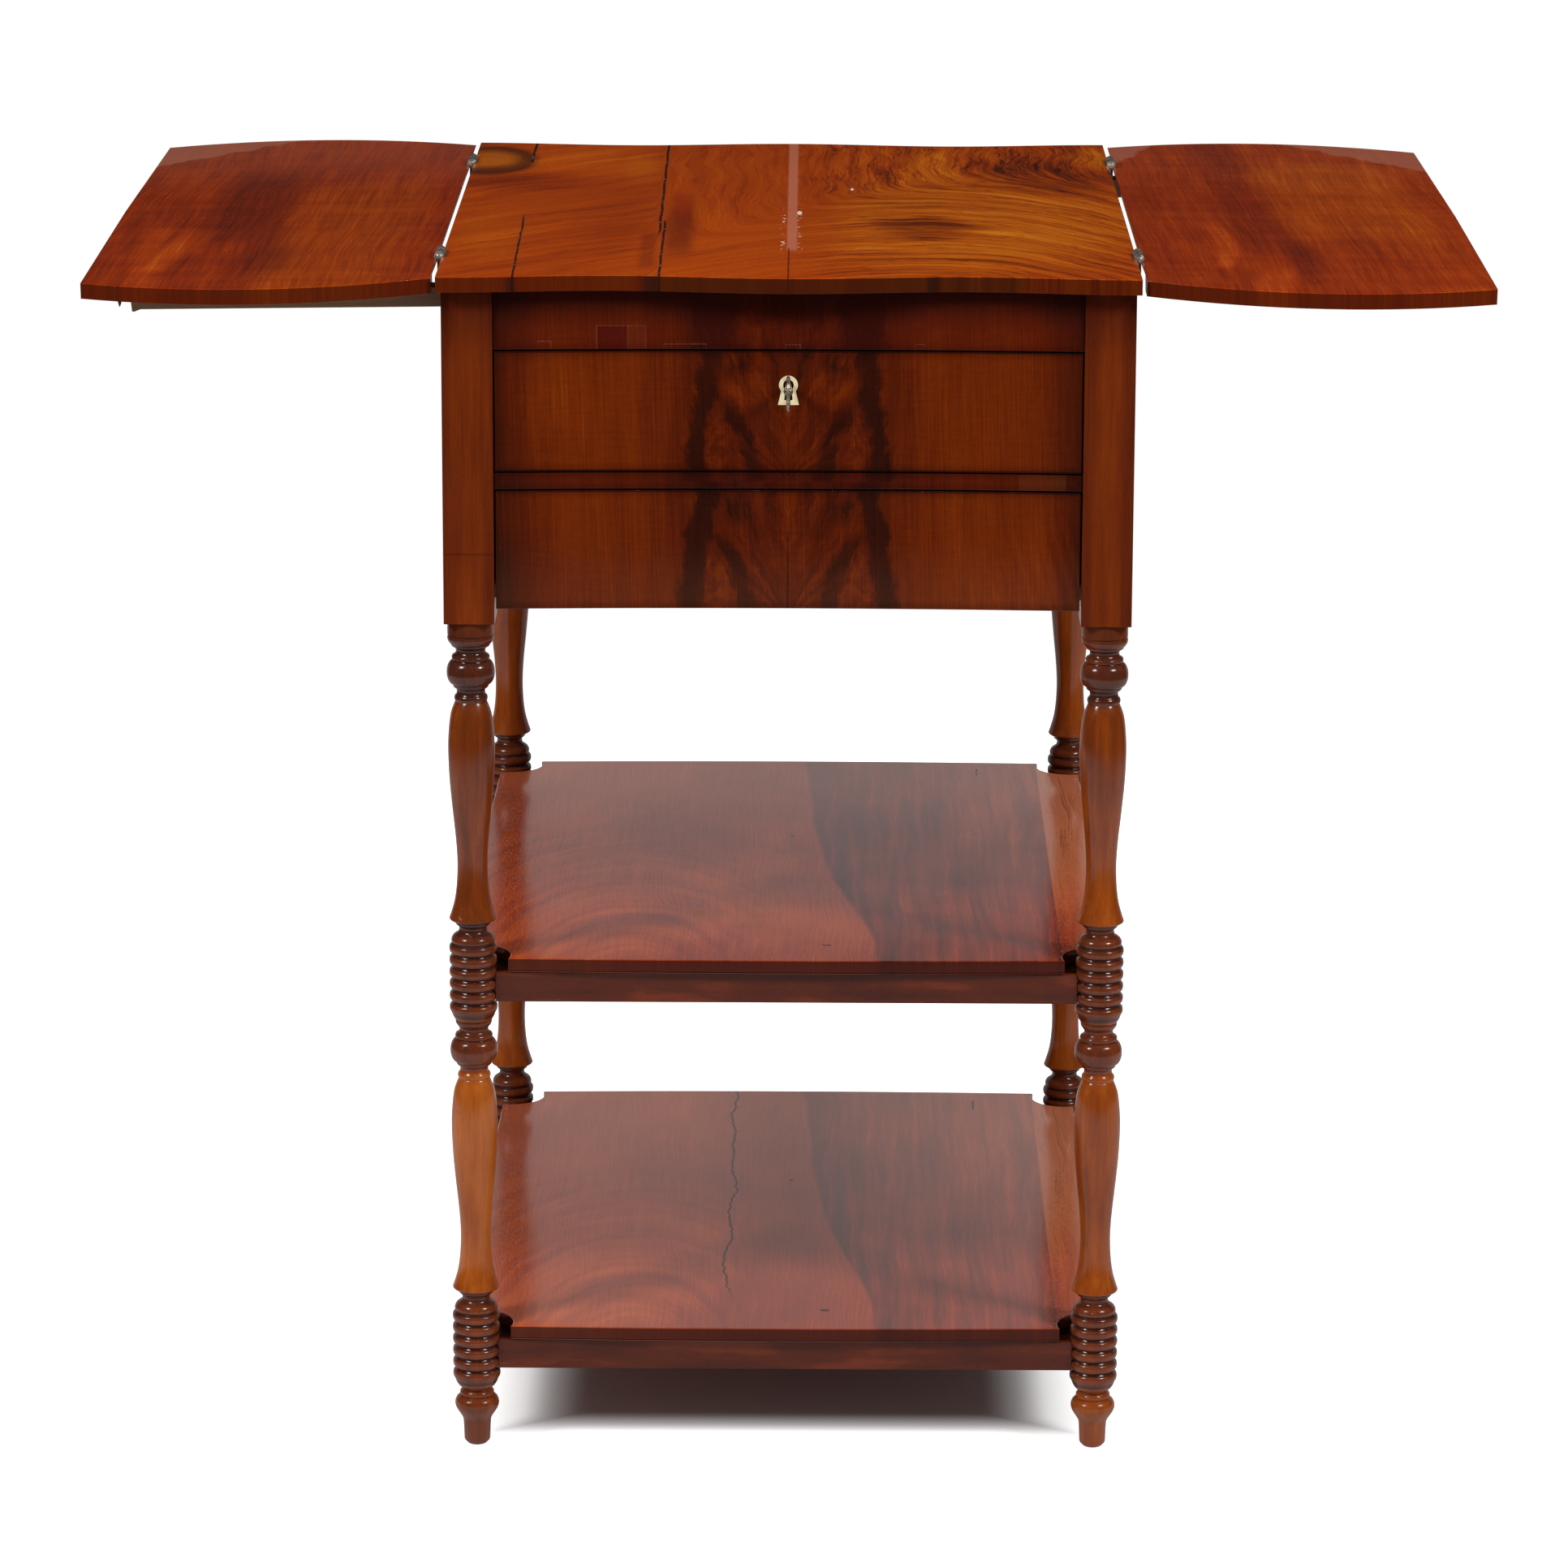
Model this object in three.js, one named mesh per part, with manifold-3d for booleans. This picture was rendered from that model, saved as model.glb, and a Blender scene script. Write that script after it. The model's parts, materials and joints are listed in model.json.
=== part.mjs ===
// A small work table: a case with two drawers on four turned legs, two open shelves,
// and a top whose two leaves fold over onto the fixed board and open out onto pull-out lopers.
// Millimetres, +Z up. The front is at -Y. The origin is on the floor, in the middle between the legs.

import * as THREE from 'three';
import { mergeVertices } from 'three/addons/utils/BufferGeometryUtils.js';
import Module from 'manifold-3d';

const wasm = await Module();
wasm.setup();

// ---------------------------------------------------------------- driving dimensions

const TABLE_HEIGHT = 750; // floor to the upper face of the fixed top
const LEG_CENTRES_X = 388; // leg centre to leg centre, side to side
const LEG_CENTRES_Y = 474; // leg centre to leg centre, front to back
const POST_SIDE = 31; // side of a leg's square upper part
const FIT = 0.3; // clearance between pieces that touch

const TOP_THICKNESS = 9.5; // fixed top and leaves
const TOP_OVERHANG_X = 2.5; // top past the posts, left and right
const TOP_OVERHANG_Y = 12.5; // top past the posts, front and back
const TOP_HOLLOW = 9; // depth of the two hollows in its wavy front and back edges

const LEAF_JOINT = 3; // open joint between the fixed top and a leaf
const LEAF_LENGTH = 209.5; // hinged edge to free end
const LEAF_INSET = 4; // hinged edge stops short of the top's corners by this much
const LEAF_FLARE = 4.5; // free end is wider than the hinged edge, at each end
const LEAF_SWELL = 29; // rise of the bowed front and back edges over a straight line
const LEAF_END_BOW = 1.5; // rise of the bowed free end
const LEAF_STEP = 1.2; // hinged edge of an open leaf below the upper face of the top
const LEAF_DROOP = 0.9; // degrees that an open leaf hangs below level, down onto its loper

const HINGE_SETBACK = 77.5; // middle of a hinge from the end of the hinged edge
const HINGE_LENGTH = 24;
const HINGE_PIN_RISE = 0.3; // hinge pin above the upper face of the top
const BARREL_RADIUS = 3.2;
const PIN_RADIUS = 1.2;
const PLATE_THICKNESS = 0.9;
const PLATE_HEIGHT = 8.4; // hinge plate below its pin

const FRIEZE_HEIGHT = 36.7;
const UPPER_DRAWER_HEIGHT = 74;
const LOWER_DRAWER_HEIGHT = 73.5;
const DRAWER_RAIL_HEIGHT = 10;
const DRAWER_RAIL_DEPTH = 45;
const DRAWER_GAP = 1; // joint round a drawer front
const POST_DROP = 9.5; // posts run on below the case
const FRONT_SETBACK = 1; // frieze and drawer fronts behind the faces of the posts
const FRONT_THICKNESS = 18;
const FRONT_HOLLOW = 5; // hollow of the frieze and drawer fronts in plan

const APRON_THICKNESS = 14;
const APRON_SETBACK = 1.5; // aprons and back panel behind the faces of the posts
const BACK_THICKNESS = 12;
const TENON_THICKNESS = 6;
const TENON_LENGTH = 9;
const TENON_SHOULDER = 12; // wood above and below a tenon of an apron or panel
const RAIL_TENON_SHOULDER = 2; // the same on the slim drawer rail and shelf rails

const DRAWER_SIDE_THICKNESS = 9;
const DRAWER_SIDE_DROP = 2.5; // drawer sides below the upper edge of the front
const DRAWER_LIP = 10; // lower drawer front hangs below its sides
const DRAWER_END_ROOM = 9.7; // stop block between a drawer and the back panel
const DRAWER_BOTTOM_THICKNESS = 5;
const DRAWER_BOTTOM_RISE = 6; // drawer bottom above the lower edge of the sides
const GROOVE_DEPTH = 4;
const DIVIDER_THICKNESS = 6;
const DIVIDER_HEIGHT = 38;
const DIVIDER_FROM_FRONT = 165; // cross divider behind the upper drawer's front
const RUNNER_WIDTH = 14; // what a drawer side rests on
const RUNNER_THICKNESS = 9.7;
const GUIDE_HEIGHT = 14; // guide above its runner
const GUIDE_PLAY = 0.8; // between a guide and the drawer side

const LOPER_WIDTH = 18;
const LOPER_HEIGHT = 16;
const LOPER_LENGTH = 335;
const LOPER_REACH = 191; // what stands out past the posts when it is pulled out
const LOPER_PLAY = 0.6; // between a loper and its guides
const LIP_LENGTH = 2.6; // lip under the loper's free end, to pull it by
const LIP_SLOPE = 1.8; // how far the end leans in from its upper to its lower edge
const HOLLOW_AT_LIP = 1.5; // depth of the hollow behind the lip
const HOLLOW_AT_POST = 4; // its depth where the loper leaves the case
const BEARER_FENCE_WIDTH = 9.3;
const BEARER_FENCE_HEIGHT = 12;
const PEG_RADIUS = 3; // stop peg of a loper
const PEG_DEPTH = 8; // peg inside the loper
const PEG_REACH = 9; // peg outside the loper

const KEY_HEIGHT = 21; // keyhole below the upper edge of the drawer front
const KEYHOLE_RADIUS = 3.2;
const KEYHOLE_DROP = 9.4; // keyhole's foot below its centre
const KEYHOLE_THROAT = 3.8; // width just below the round part
const KEYHOLE_FOOT = 5; // width at the foot
const ESCUTCHEON_RADIUS = 5.75;
const ESCUTCHEON_THROAT = 8.8;
const ESCUTCHEON_FOOT = 12.8;
const ESCUTCHEON_DROP = 12.3; // escutcheon's foot below its centre
const ESCUTCHEON_THICKNESS = 1.5;
const ESCUTCHEON_RISE = 0.3; // escutcheon proud of the drawer front
const LOCK_WIDTH = 44;
const LOCK_HEIGHT = 32;
const LOCK_DEPTH = 9;
const LOCK_WALL = 1.2;
const BOLT_WIDTH = 12;
const BOLT_TAIL_WIDTH = 24;
const BOLT_TAIL_HEIGHT = 4;
const BOLT_THICKNESS = 4;
const BOLT_TRAVEL = 6;
const SHANK_RADIUS = 2;
const KEY_BIT_REACH = 8; // key's bit from the middle of the shank
const KEY_BIT_WIDTH = 4;
const KEY_BIT_THICKNESS = 2;
const KEY_REACH = 30; // middle of the bow in front of the drawer
const BOW_HEIGHT = 22.6;
const BOW_WIDTH = 18;
const BOW_THICKNESS = 2.2;
const BOW_RIM = 3; // width of the bow's ring
const KEY_COLLAR_RADIUS = 3;
const KEY_COLLAR_LENGTH = 2;

const UPPER_SHELF_HEIGHT = 319.7; // floor to the upper face of the shelf
const LOWER_SHELF_HEIGHT = 79.7;
const SHELF_THICKNESS = 8.7;
const SHELF_OVERHANG_X = 5; // shelf past the leg centres, left and right
const SHELF_OVERHANG_Y = 6.5; // shelf past the leg centres, front and back
const SHELF_SWELL = 4; // bow of its front and back edges
const SHELF_SIDE_SWELL = 2.5; // bow of its left and right edges
const SHELF_NOTCH_RADIUS = 23; // quarter round cut out at each leg
const SHELF_RAIL_HEIGHT = 19.5;
const SHELF_RAIL_THICKNESS = 12;
const SHELF_RAIL_TENON = 7; // tenon's length inside the turned leg

const RING_COUNT = 6; // rings in each of a leg's two stacks
const RING_PITCH = 7.6;
const RING_RADIUS = 14.8;
const RING_GROOVE = 1.8; // depth of the groove between two rings
const RINGS_ABOVE_SHELF = 8; // top of a stack above the shelf's upper face
const COLLAR_RADIUS = 14.2;
const COLLAR_HEIGHT = 17;
const NECK_RADIUS = 8.8;
const NECK_HEIGHT = 4.5;
const KNOP_RADIUS = 14.7; // ball between two necks
const KNOP_HEIGHT = 15;
const FILLET_RADIUS = 11.3; // small steps above and below a ball or a stack of rings
const FILLET_HEIGHT = 4.2;
const BEAD_RADIUS = 9.8; // small bead at the head of a vase
const BEAD_HEIGHT = 4;
const VASE_BELLY_RADIUS = 14.3;
const VASE_WAIST_RADIUS = 9.2;
const VASE_RIM_RADIUS = 14.6;
const RIM_UNDERCUT = 8; // height of the slope under a vase's rim
const FOOT_BALL_RADIUS = 13.9;
const FOOT_BALL_HEIGHT = 17;
const FOOT_RADIUS = 8.9;
const FOOT_CHAMFER = 2.5;

const TURNING_FACETS = 10; // facets round a turned leg
const ROUND_FACETS = 12; // facets round pins, barrels and pegs
const EDGE_STEPS = 32; // straight steps along a curved edge
const VASE_STEPS = 9; // straight steps down the outline of a vase

// ---------------------------------------------------------------- derived places

const legX = LEG_CENTRES_X / 2;
const legY = LEG_CENTRES_Y / 2;
const postHalf = POST_SIDE / 2;
const postOuterX = legX + postHalf;
const postInnerX = legX - postHalf;
const postOuterY = legY + postHalf;
const postInnerY = legY - postHalf;

const topUnder = TABLE_HEIGHT - TOP_THICKNESS;
const caseTop = topUnder - FIT;
const friezeBottom = caseTop - FRIEZE_HEIGHT;
const upperDrawerTop = friezeBottom - DRAWER_GAP;
const upperDrawerBottom = upperDrawerTop - UPPER_DRAWER_HEIGHT;
const drawerRailTop = upperDrawerBottom - DRAWER_GAP;
const drawerRailBottom = drawerRailTop - DRAWER_RAIL_HEIGHT;
const lowerDrawerTop = drawerRailBottom - DRAWER_GAP;
const lowerDrawerBottom = lowerDrawerTop - LOWER_DRAWER_HEIGHT;
const caseBottom = lowerDrawerBottom;
const turningTop = caseBottom - POST_DROP;

const topHalfX = postOuterX + TOP_OVERHANG_X;
const topHalfY = postOuterY + TOP_OVERHANG_Y;
const hingeX = topHalfX + LEAF_JOINT / 2;
const hingeZ = TABLE_HEIGHT + HINGE_PIN_RISE;
const leafRootHalf = topHalfY - LEAF_INSET;
const leafTipHalf = leafRootHalf + LEAF_FLARE;
const hingeY = leafRootHalf - HINGE_SETBACK;
const droop = THREE.MathUtils.degToRad(LEAF_DROOP);

const frontY = -(postOuterY - FRONT_SETBACK);
const frontBackY = frontY + FRONT_THICKNESS;
const apronOuterX = postOuterX - APRON_SETBACK;
const apronInnerX = apronOuterX - APRON_THICKNESS;
const backOuterY = postOuterY - APRON_SETBACK;
const backInnerY = backOuterY - BACK_THICKNESS;

const loperTip = postOuterX + LOPER_REACH;
const leafUnderAtTip = hingeZ - (HINGE_PIN_RISE + LEAF_STEP + TOP_THICKNESS) / Math.cos(droop)
  - (loperTip - hingeX) * Math.tan(droop);
const loperTop = leafUnderAtTip - FIT;
const loperBottom = loperTop - LOPER_HEIGHT;
const loperOuterY = postInnerY - LOPER_PLAY;
const loperInnerY = loperOuterY - LOPER_WIDTH;
const bearerTop = loperBottom - FIT;

const drawerHalfX = postInnerX - DRAWER_GAP;
const drawerInnerX = drawerHalfX - DRAWER_SIDE_THICKNESS;
const drawerEndY = backInnerY - DRAWER_END_ROOM - FIT;

const keyZ = upperDrawerTop - KEY_HEIGHT;
const keyFaceY = frontY + FRONT_HOLLOW;
const lockBackY = frontBackY;
const lockFrontY = lockBackY - LOCK_DEPTH;
const lockTop = upperDrawerTop - FIT;
const lockBottom = lockTop - LOCK_HEIGHT;
const lockCavityFrontY = lockFrontY + LOCK_WALL;
const lockCavityBackY = lockBackY - LOCK_WALL;

// ---------------------------------------------------------------- finishes

const finishes = {
  top: { color: 0x8a3d12, roughness: 0.3, metalness: 0 },
  leaf: { color: 0x7a2f12, roughness: 0.3, metalness: 0 },
  front: { color: 0x6e2a12, roughness: 0.32, metalness: 0 },
  leg: { color: 0x8c4416, roughness: 0.3, metalness: 0 },
  shelf: { color: 0x5e2517, roughness: 0.28, metalness: 0 },
  rail: { color: 0x54241a, roughness: 0.4, metalness: 0 },
  inside: { color: 0x9a7347, roughness: 0.7, metalness: 0 },
  loper: { color: 0x6d5038, roughness: 0.6, metalness: 0 },
  iron: { color: 0x5b564e, roughness: 0.45, metalness: 1 },
  brass: { color: 0x8f7440, roughness: 0.4, metalness: 1 },
  bone: { color: 0xe2d3a8, roughness: 0.45, metalness: 0 },
};

// ---------------------------------------------------------------- solids

// A closed three.js geometry as a solid that can be cut and joined.
function solid(geometry) {
  const bare = geometry.clone();
  bare.deleteAttribute('normal');
  bare.deleteAttribute('uv');
  const merged = mergeVertices(bare, 1e-4);
  return new wasm.Manifold(new wasm.Mesh({
    numProp: 3,
    vertProperties: Float32Array.from(merged.attributes.position.array),
    triVerts: Uint32Array.from(merged.index.array),
  }));
}

function geometryOf(body) {
  const mesh = body.getMesh();
  const geometry = new THREE.BufferGeometry();
  geometry.setAttribute('position', new THREE.BufferAttribute(Float32Array.from(mesh.vertProperties), 3));
  geometry.setIndex(new THREE.BufferAttribute(Uint32Array.from(mesh.triVerts), 1));
  geometry.computeVertexNormals();
  return geometry;
}

// A block given by its limits along X, Y and Z.
function block([x0, x1], [y0, y1], [z0, z1]) {
  const geometry = new THREE.BoxGeometry(x1 - x0, y1 - y0, z1 - z0);
  return solid(geometry.translate((x0 + x1) / 2, (y0 + y1) / 2, (z0 + z1) / 2));
}

// A flat outline in X and Y, given a thickness from z0 up to z1.
function slab(shape, z0, z1, curveSegments = EDGE_STEPS) {
  const geometry = new THREE.ExtrudeGeometry(shape, { depth: z1 - z0, bevelEnabled: false, curveSegments });
  return solid(geometry.translate(0, 0, z0));
}

// An upright outline in X and Z, given a thickness from y0 to y1.
function plate(shape, y0, y1, curveSegments = EDGE_STEPS / 2) {
  const geometry = new THREE.ExtrudeGeometry(shape, { depth: y1 - y0, bevelEnabled: false, curveSegments });
  return solid(geometry.rotateX(Math.PI / 2).translate(0, y1, 0));
}

// A round bar along Y.
function barAlongY(radius, y0, y1, x = 0, z = 0, facets = ROUND_FACETS) {
  const geometry = new THREE.CylinderGeometry(radius, radius, y1 - y0, facets);
  return solid(geometry.translate(x, (y0 + y1) / 2, z));
}

// A round bar along Z.
function barAlongZ(radius, z0, z1, x, y, facets = ROUND_FACETS) {
  const geometry = new THREE.CylinderGeometry(radius, radius, z1 - z0, facets);
  return solid(geometry.rotateX(Math.PI / 2).translate(x, y, (z0 + z1) / 2));
}

function join(...bodies) {
  return bodies.reduce((whole, body) => whole.add(body));
}

function cut(body, ...tools) {
  return tools.reduce((rest, tool) => rest.subtract(tool), body);
}

// Limits of a space that is `by` larger all round than the limits given.
function grown([low, high], by = FIT) {
  return [low - by, high + by];
}

// The same limits on the other side of the middle.
function mirrored([low, high]) {
  return [-high, -low];
}

function pieceOf(parent, name, body, finish) {
  const mesh = new THREE.Mesh(geometryOf(body), new THREE.MeshStandardMaterial(finishes[finish]));
  mesh.name = name;
  parent.add(mesh);
  return mesh;
}

// ---------------------------------------------------------------- legs

// Points of a swelling outline: from `end` out to `full` radius and back, going down from z.
function swelling(z, height, end, full, steps) {
  return Array.from({ length: steps + 1 }, (_, i) => {
    const along = i / steps;
    return [end + (full - end) * Math.sin(Math.PI * along), z - height * along];
  });
}

// A vase: a full belly under its bead, a long slim waist, and a flared rim at the foot.
function vase(z, height) {
  const between = (a, b, share) => a + (b - a) * share;
  const outline = [
    [0, BEAD_RADIUS],
    [0.06, between(BEAD_RADIUS, VASE_BELLY_RADIUS, 0.72)],
    [0.22, VASE_BELLY_RADIUS],
    [0.46, between(VASE_WAIST_RADIUS, VASE_BELLY_RADIUS, 0.52)],
    [0.73, VASE_WAIST_RADIUS],
    [0.91, between(VASE_WAIST_RADIUS, VASE_RIM_RADIUS, 0.27)],
    [1, VASE_RIM_RADIUS],
  ];
  const points = outline.map(([along, radius]) => new THREE.Vector2(radius, z - height * along));
  return new THREE.SplineCurve(points).getPoints(VASE_STEPS).map((point) => [point.x, point.y]);
}

// One stack of rings with narrow grooves between them, going down from z.
function rings(z) {
  const groove = RING_RADIUS - RING_GROOVE;
  const points = [];
  for (let i = 0; i < RING_COUNT; i += 1) {
    const top = z - i * RING_PITCH;
    points.push([groove, top]);
    points.push([RING_RADIUS, top - RING_PITCH * 0.25]);
    points.push([RING_RADIUS, top - RING_PITCH * 0.75]);
  }
  points.push([groove, z - RING_COUNT * RING_PITCH]);
  return points;
}

// A neck, a small step, a ball, another step, a second neck and the bead that heads a vase.
function knop(z) {
  const ballTop = z - NECK_HEIGHT - FILLET_HEIGHT;
  const ballBottom = ballTop - KNOP_HEIGHT;
  const neckTop = ballBottom - FILLET_HEIGHT * 0.7;
  const beadTop = neckTop - NECK_HEIGHT;
  return [
    [NECK_RADIUS, z],
    [NECK_RADIUS, z - NECK_HEIGHT],
    ...swelling(ballTop, KNOP_HEIGHT, FILLET_RADIUS, KNOP_RADIUS, 4),
    [FILLET_RADIUS, neckTop],
    [NECK_RADIUS, neckTop - 1],
    [NECK_RADIUS, beadTop],
    [BEAD_RADIUS, beadTop - 1],
    [BEAD_RADIUS, beadTop - BEAD_HEIGHT],
  ];
}

const knopHeight = 2 * NECK_HEIGHT + 1.7 * FILLET_HEIGHT + KNOP_HEIGHT + BEAD_HEIGHT;

// The rim's undercut, a neck and the shoulder above a stack of rings, between vaseBottom and ringsTop.
function shoulder(vaseBottom, ringsTop) {
  const neckTop = vaseBottom - RIM_UNDERCUT;
  return [
    [NECK_RADIUS + 1, neckTop],
    [NECK_RADIUS, neckTop - 1],
    [NECK_RADIUS, ringsTop + FILLET_HEIGHT],
    [FILLET_RADIUS + 1, ringsTop + FILLET_HEIGHT * 0.6],
  ];
}

const shoulderHeight = RIM_UNDERCUT + NECK_HEIGHT + FILLET_HEIGHT;

function turnedOutline() {
  const upperRings = UPPER_SHELF_HEIGHT + RINGS_ABOVE_SHELF;
  const lowerRings = LOWER_SHELF_HEIGHT + RINGS_ABOVE_SHELF;
  const stack = RING_COUNT * RING_PITCH;
  const headKnop = turningTop - COLLAR_HEIGHT;
  const upperVase = headKnop - knopHeight;
  const middleKnop = upperRings - stack - FILLET_HEIGHT * 1.7;
  const lowerVase = middleKnop - knopHeight;
  const footNeck = lowerRings - stack - FILLET_HEIGHT;
  const footBall = footNeck - NECK_HEIGHT;
  const footTop = footBall - FOOT_BALL_HEIGHT;
  return [
    [0, turningTop + postHalf],
    [COLLAR_RADIUS - 1, turningTop + postHalf],
    [COLLAR_RADIUS, turningTop],
    [COLLAR_RADIUS, turningTop - COLLAR_HEIGHT * 0.7],
    [FILLET_RADIUS, headKnop + 1],
    ...knop(headKnop),
    ...vase(upperVase, upperVase - upperRings - shoulderHeight).slice(1),
    ...shoulder(upperRings + shoulderHeight, upperRings),
    ...rings(upperRings),
    [FILLET_RADIUS, middleKnop + FILLET_HEIGHT],
    [FILLET_RADIUS, middleKnop + 1],
    ...knop(middleKnop),
    ...vase(lowerVase, lowerVase - lowerRings - shoulderHeight).slice(1),
    ...shoulder(lowerRings + shoulderHeight, lowerRings),
    ...rings(lowerRings),
    [NECK_RADIUS + 1, footNeck],
    ...swelling(footBall, FOOT_BALL_HEIGHT, NECK_RADIUS + 1, FOOT_BALL_RADIUS, 4),
    [FOOT_RADIUS, footTop - 2],
    [FOOT_RADIUS, FOOT_CHAMFER],
    [FOOT_RADIUS - FOOT_CHAMFER, 0],
    [0, 0],
  ];
}

// ---------------------------------------------------------------- tenons

const railTop = {
  upper: UPPER_SHELF_HEIGHT - SHELF_THICKNESS - FIT,
  lower: LOWER_SHELF_HEIGHT - SHELF_THICKNESS - FIT,
};
const tenonHalf = TENON_THICKNESS / 2;
const frontMiddleY = (frontY + frontBackY) / 2;
const apronMiddleX = (apronOuterX + apronInnerX) / 2;
const backMiddleY = (backOuterY + backInnerY) / 2;

function around(middle, half) {
  return [middle - half, middle + half];
}

function railSpan(top) {
  return [top - SHELF_RAIL_HEIGHT, top];
}

function shortened([low, high], shoulderAtEnds) {
  return [low + shoulderAtEnds, high - shoulderAtEnds];
}

// What the right leg of one side takes in, as limits along X, Y and Z; the left leg takes it mirrored.
function tenonsInto(side) {
  const sideways = (limits) => (side === 'front' ? mirrored(limits) : limits);
  const intoPostX = [postInnerX - FIT, postInnerX + TENON_LENGTH];
  const intoPostY = sideways([postInnerY - FIT, postInnerY + TENON_LENGTH]);
  const frontAcross = around(frontMiddleY, tenonHalf);
  const backAcross = around(backMiddleY, tenonHalf);
  const caseTenons = side === 'front'
    ? {
      frieze: [intoPostX, frontAcross, shortened([friezeBottom, caseTop], TENON_SHOULDER)],
      drawerRail: [intoPostX, frontAcross, shortened([drawerRailBottom, drawerRailTop], RAIL_TENON_SHOULDER)],
    }
    : {
      backPanel: [intoPostX, backAcross, shortened([caseBottom, caseTop], TENON_SHOULDER)],
    };
  const apronHeights = shortened([caseBottom, bearerTop], TENON_SHOULDER);
  caseTenons.apron = [around(apronMiddleX, tenonHalf), intoPostY, apronHeights];

  const intoTurning = [RING_RADIUS - SHELF_RAIL_TENON, RING_RADIUS + postHalf];
  const alongX = intoTurning.map((reach) => legX - reach).reverse();
  const alongY = intoTurning.map((reach) => legY - reach).reverse();
  const shelfTenons = Object.values(railTop).flatMap((top) => {
    const heights = shortened(railSpan(top), RAIL_TENON_SHOULDER);
    return [
      [alongX, sideways(around(legY, tenonHalf)), heights],
      [around(legX, tenonHalf), sideways(alongY), heights],
    ];
  });
  return { caseTenons, shelfTenons };
}

function leg(side, sign) {
  const turning = new THREE.LatheGeometry(
    turnedOutline().map(([radius, z]) => new THREE.Vector2(radius, z)).reverse(),
    TURNING_FACETS,
    Math.PI / TURNING_FACETS,
  );
  const y = side === 'front' ? -legY : legY;
  const turned = solid(turning.rotateX(Math.PI / 2)).translate([sign * legX, y, 0]);
  const post = block(around(sign * legX, postHalf), around(y, postHalf), [turningTop, caseTop]);
  const { caseTenons, shelfTenons } = tenonsInto(side);
  const mortises = [...Object.values(caseTenons), ...shelfTenons].map(([across, along, heights]) => block(
    grown(sign > 0 ? across : mirrored(across)),
    grown(along),
    grown(heights),
  ));
  return cut(join(post, turned), ...mortises);
}

// ---------------------------------------------------------------- top, leaves and hinges

function fixedTopShape() {
  const edge = Array.from({ length: EDGE_STEPS + 1 }, (_, i) => {
    const x = -topHalfX + (2 * topHalfX * i) / EDGE_STEPS;
    const hollow = (TOP_HOLLOW * (1 - Math.cos((2 * Math.PI * x) / topHalfX))) / 2;
    return new THREE.Vector2(x, -(topHalfY - hollow));
  });
  const back = edge.map((point) => new THREE.Vector2(-point.x, -point.y));
  return new THREE.Shape([...edge, ...back]);
}

function barrelSpace() {
  return [hingeY, -hingeY].map((y) => barAlongY(
    BARREL_RADIUS + FIT,
    y - HINGE_LENGTH / 2 - FIT,
    y + HINGE_LENGTH / 2 + FIT,
  ));
}

function fixedTop() {
  const board = slab(fixedTopShape(), topUnder, TABLE_HEIGHT);
  const notches = barrelSpace().flatMap((space) => [
    space.translate([hingeX, 0, hingeZ]),
    space.translate([-hingeX, 0, hingeZ]),
  ]);
  return cut(board, ...notches);
}

// A leaf seen from its hinge pin: the pin is at the origin and the leaf runs off along +X.
function leafBoard() {
  const near = LEAF_JOINT / 2;
  const far = near + LEAF_LENGTH;
  const middle = (near + far) / 2;
  const bow = (leafRootHalf + leafTipHalf) / 2 + 2 * LEAF_SWELL;
  const shape = new THREE.Shape();
  shape.moveTo(near, -leafRootHalf);
  shape.quadraticCurveTo(middle, -bow, far, -leafTipHalf);
  shape.quadraticCurveTo(far + 2 * LEAF_END_BOW, 0, far, leafTipHalf);
  shape.quadraticCurveTo(middle, bow, near, leafRootHalf);
  const upper = -(HINGE_PIN_RISE + LEAF_STEP);
  return cut(slab(shape, upper - TOP_THICKNESS, upper, EDGE_STEPS / 2), ...barrelSpace());
}

const knuckle = HINGE_LENGTH / 3;

// Half of a butt hinge about its pin along Y. The fixed half has the two end knuckles and lies at -X,
// the leaf's half has the middle knuckle and lies at +X.
function hingeHalf(fixed) {
  const inner = LEAF_JOINT / 2 - FIT - PLATE_THICKNESS;
  const outer = LEAF_JOINT / 2 - FIT;
  const across = fixed ? [-outer, -inner] : [inner, outer];
  const half = HINGE_LENGTH / 2;
  const middle = [-knuckle / 2 + FIT, knuckle / 2 - FIT];
  const ends = [[-half, -knuckle / 2], [knuckle / 2, half]];
  const own = fixed ? ends : [middle];
  const others = fixed ? [grown(middle, 2 * FIT)] : ends.map((span) => grown(span));
  const whole = join(
    block(across, [-half, half], [-PLATE_HEIGHT, 0]),
    ...own.map(([y0, y1]) => barAlongY(BARREL_RADIUS, y0, y1)),
  );
  const cleared = others.map(([y0, y1]) => barAlongY(BARREL_RADIUS + FIT, y0, y1));
  return cut(whole, ...cleared, barAlongY(PIN_RADIUS + FIT, -half - 1, half + 1));
}

function hingePin() {
  return barAlongY(PIN_RADIUS, -HINGE_LENGTH / 2 - FIT, HINGE_LENGTH / 2 + FIT);
}

// ---------------------------------------------------------------- case

// Plan of the frieze and the drawer fronts: straight at the back, hollow at the front.
function frontShape(halfWidth, backY) {
  const hollowAt = (x) => frontY + FRONT_HOLLOW * (1 - (x / postInnerX) ** 2);
  const front = Array.from({ length: EDGE_STEPS / 2 + 1 }, (_, i) => {
    const x = -halfWidth + (4 * halfWidth * i) / EDGE_STEPS;
    return new THREE.Vector2(x, hollowAt(x));
  });
  const back = [new THREE.Vector2(halfWidth, backY), new THREE.Vector2(-halfWidth, backY)];
  return new THREE.Shape([...front, ...back]);
}

function bothEnds([x, y, z]) {
  return [block(x, y, z), block(mirrored(x), y, z)];
}

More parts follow.
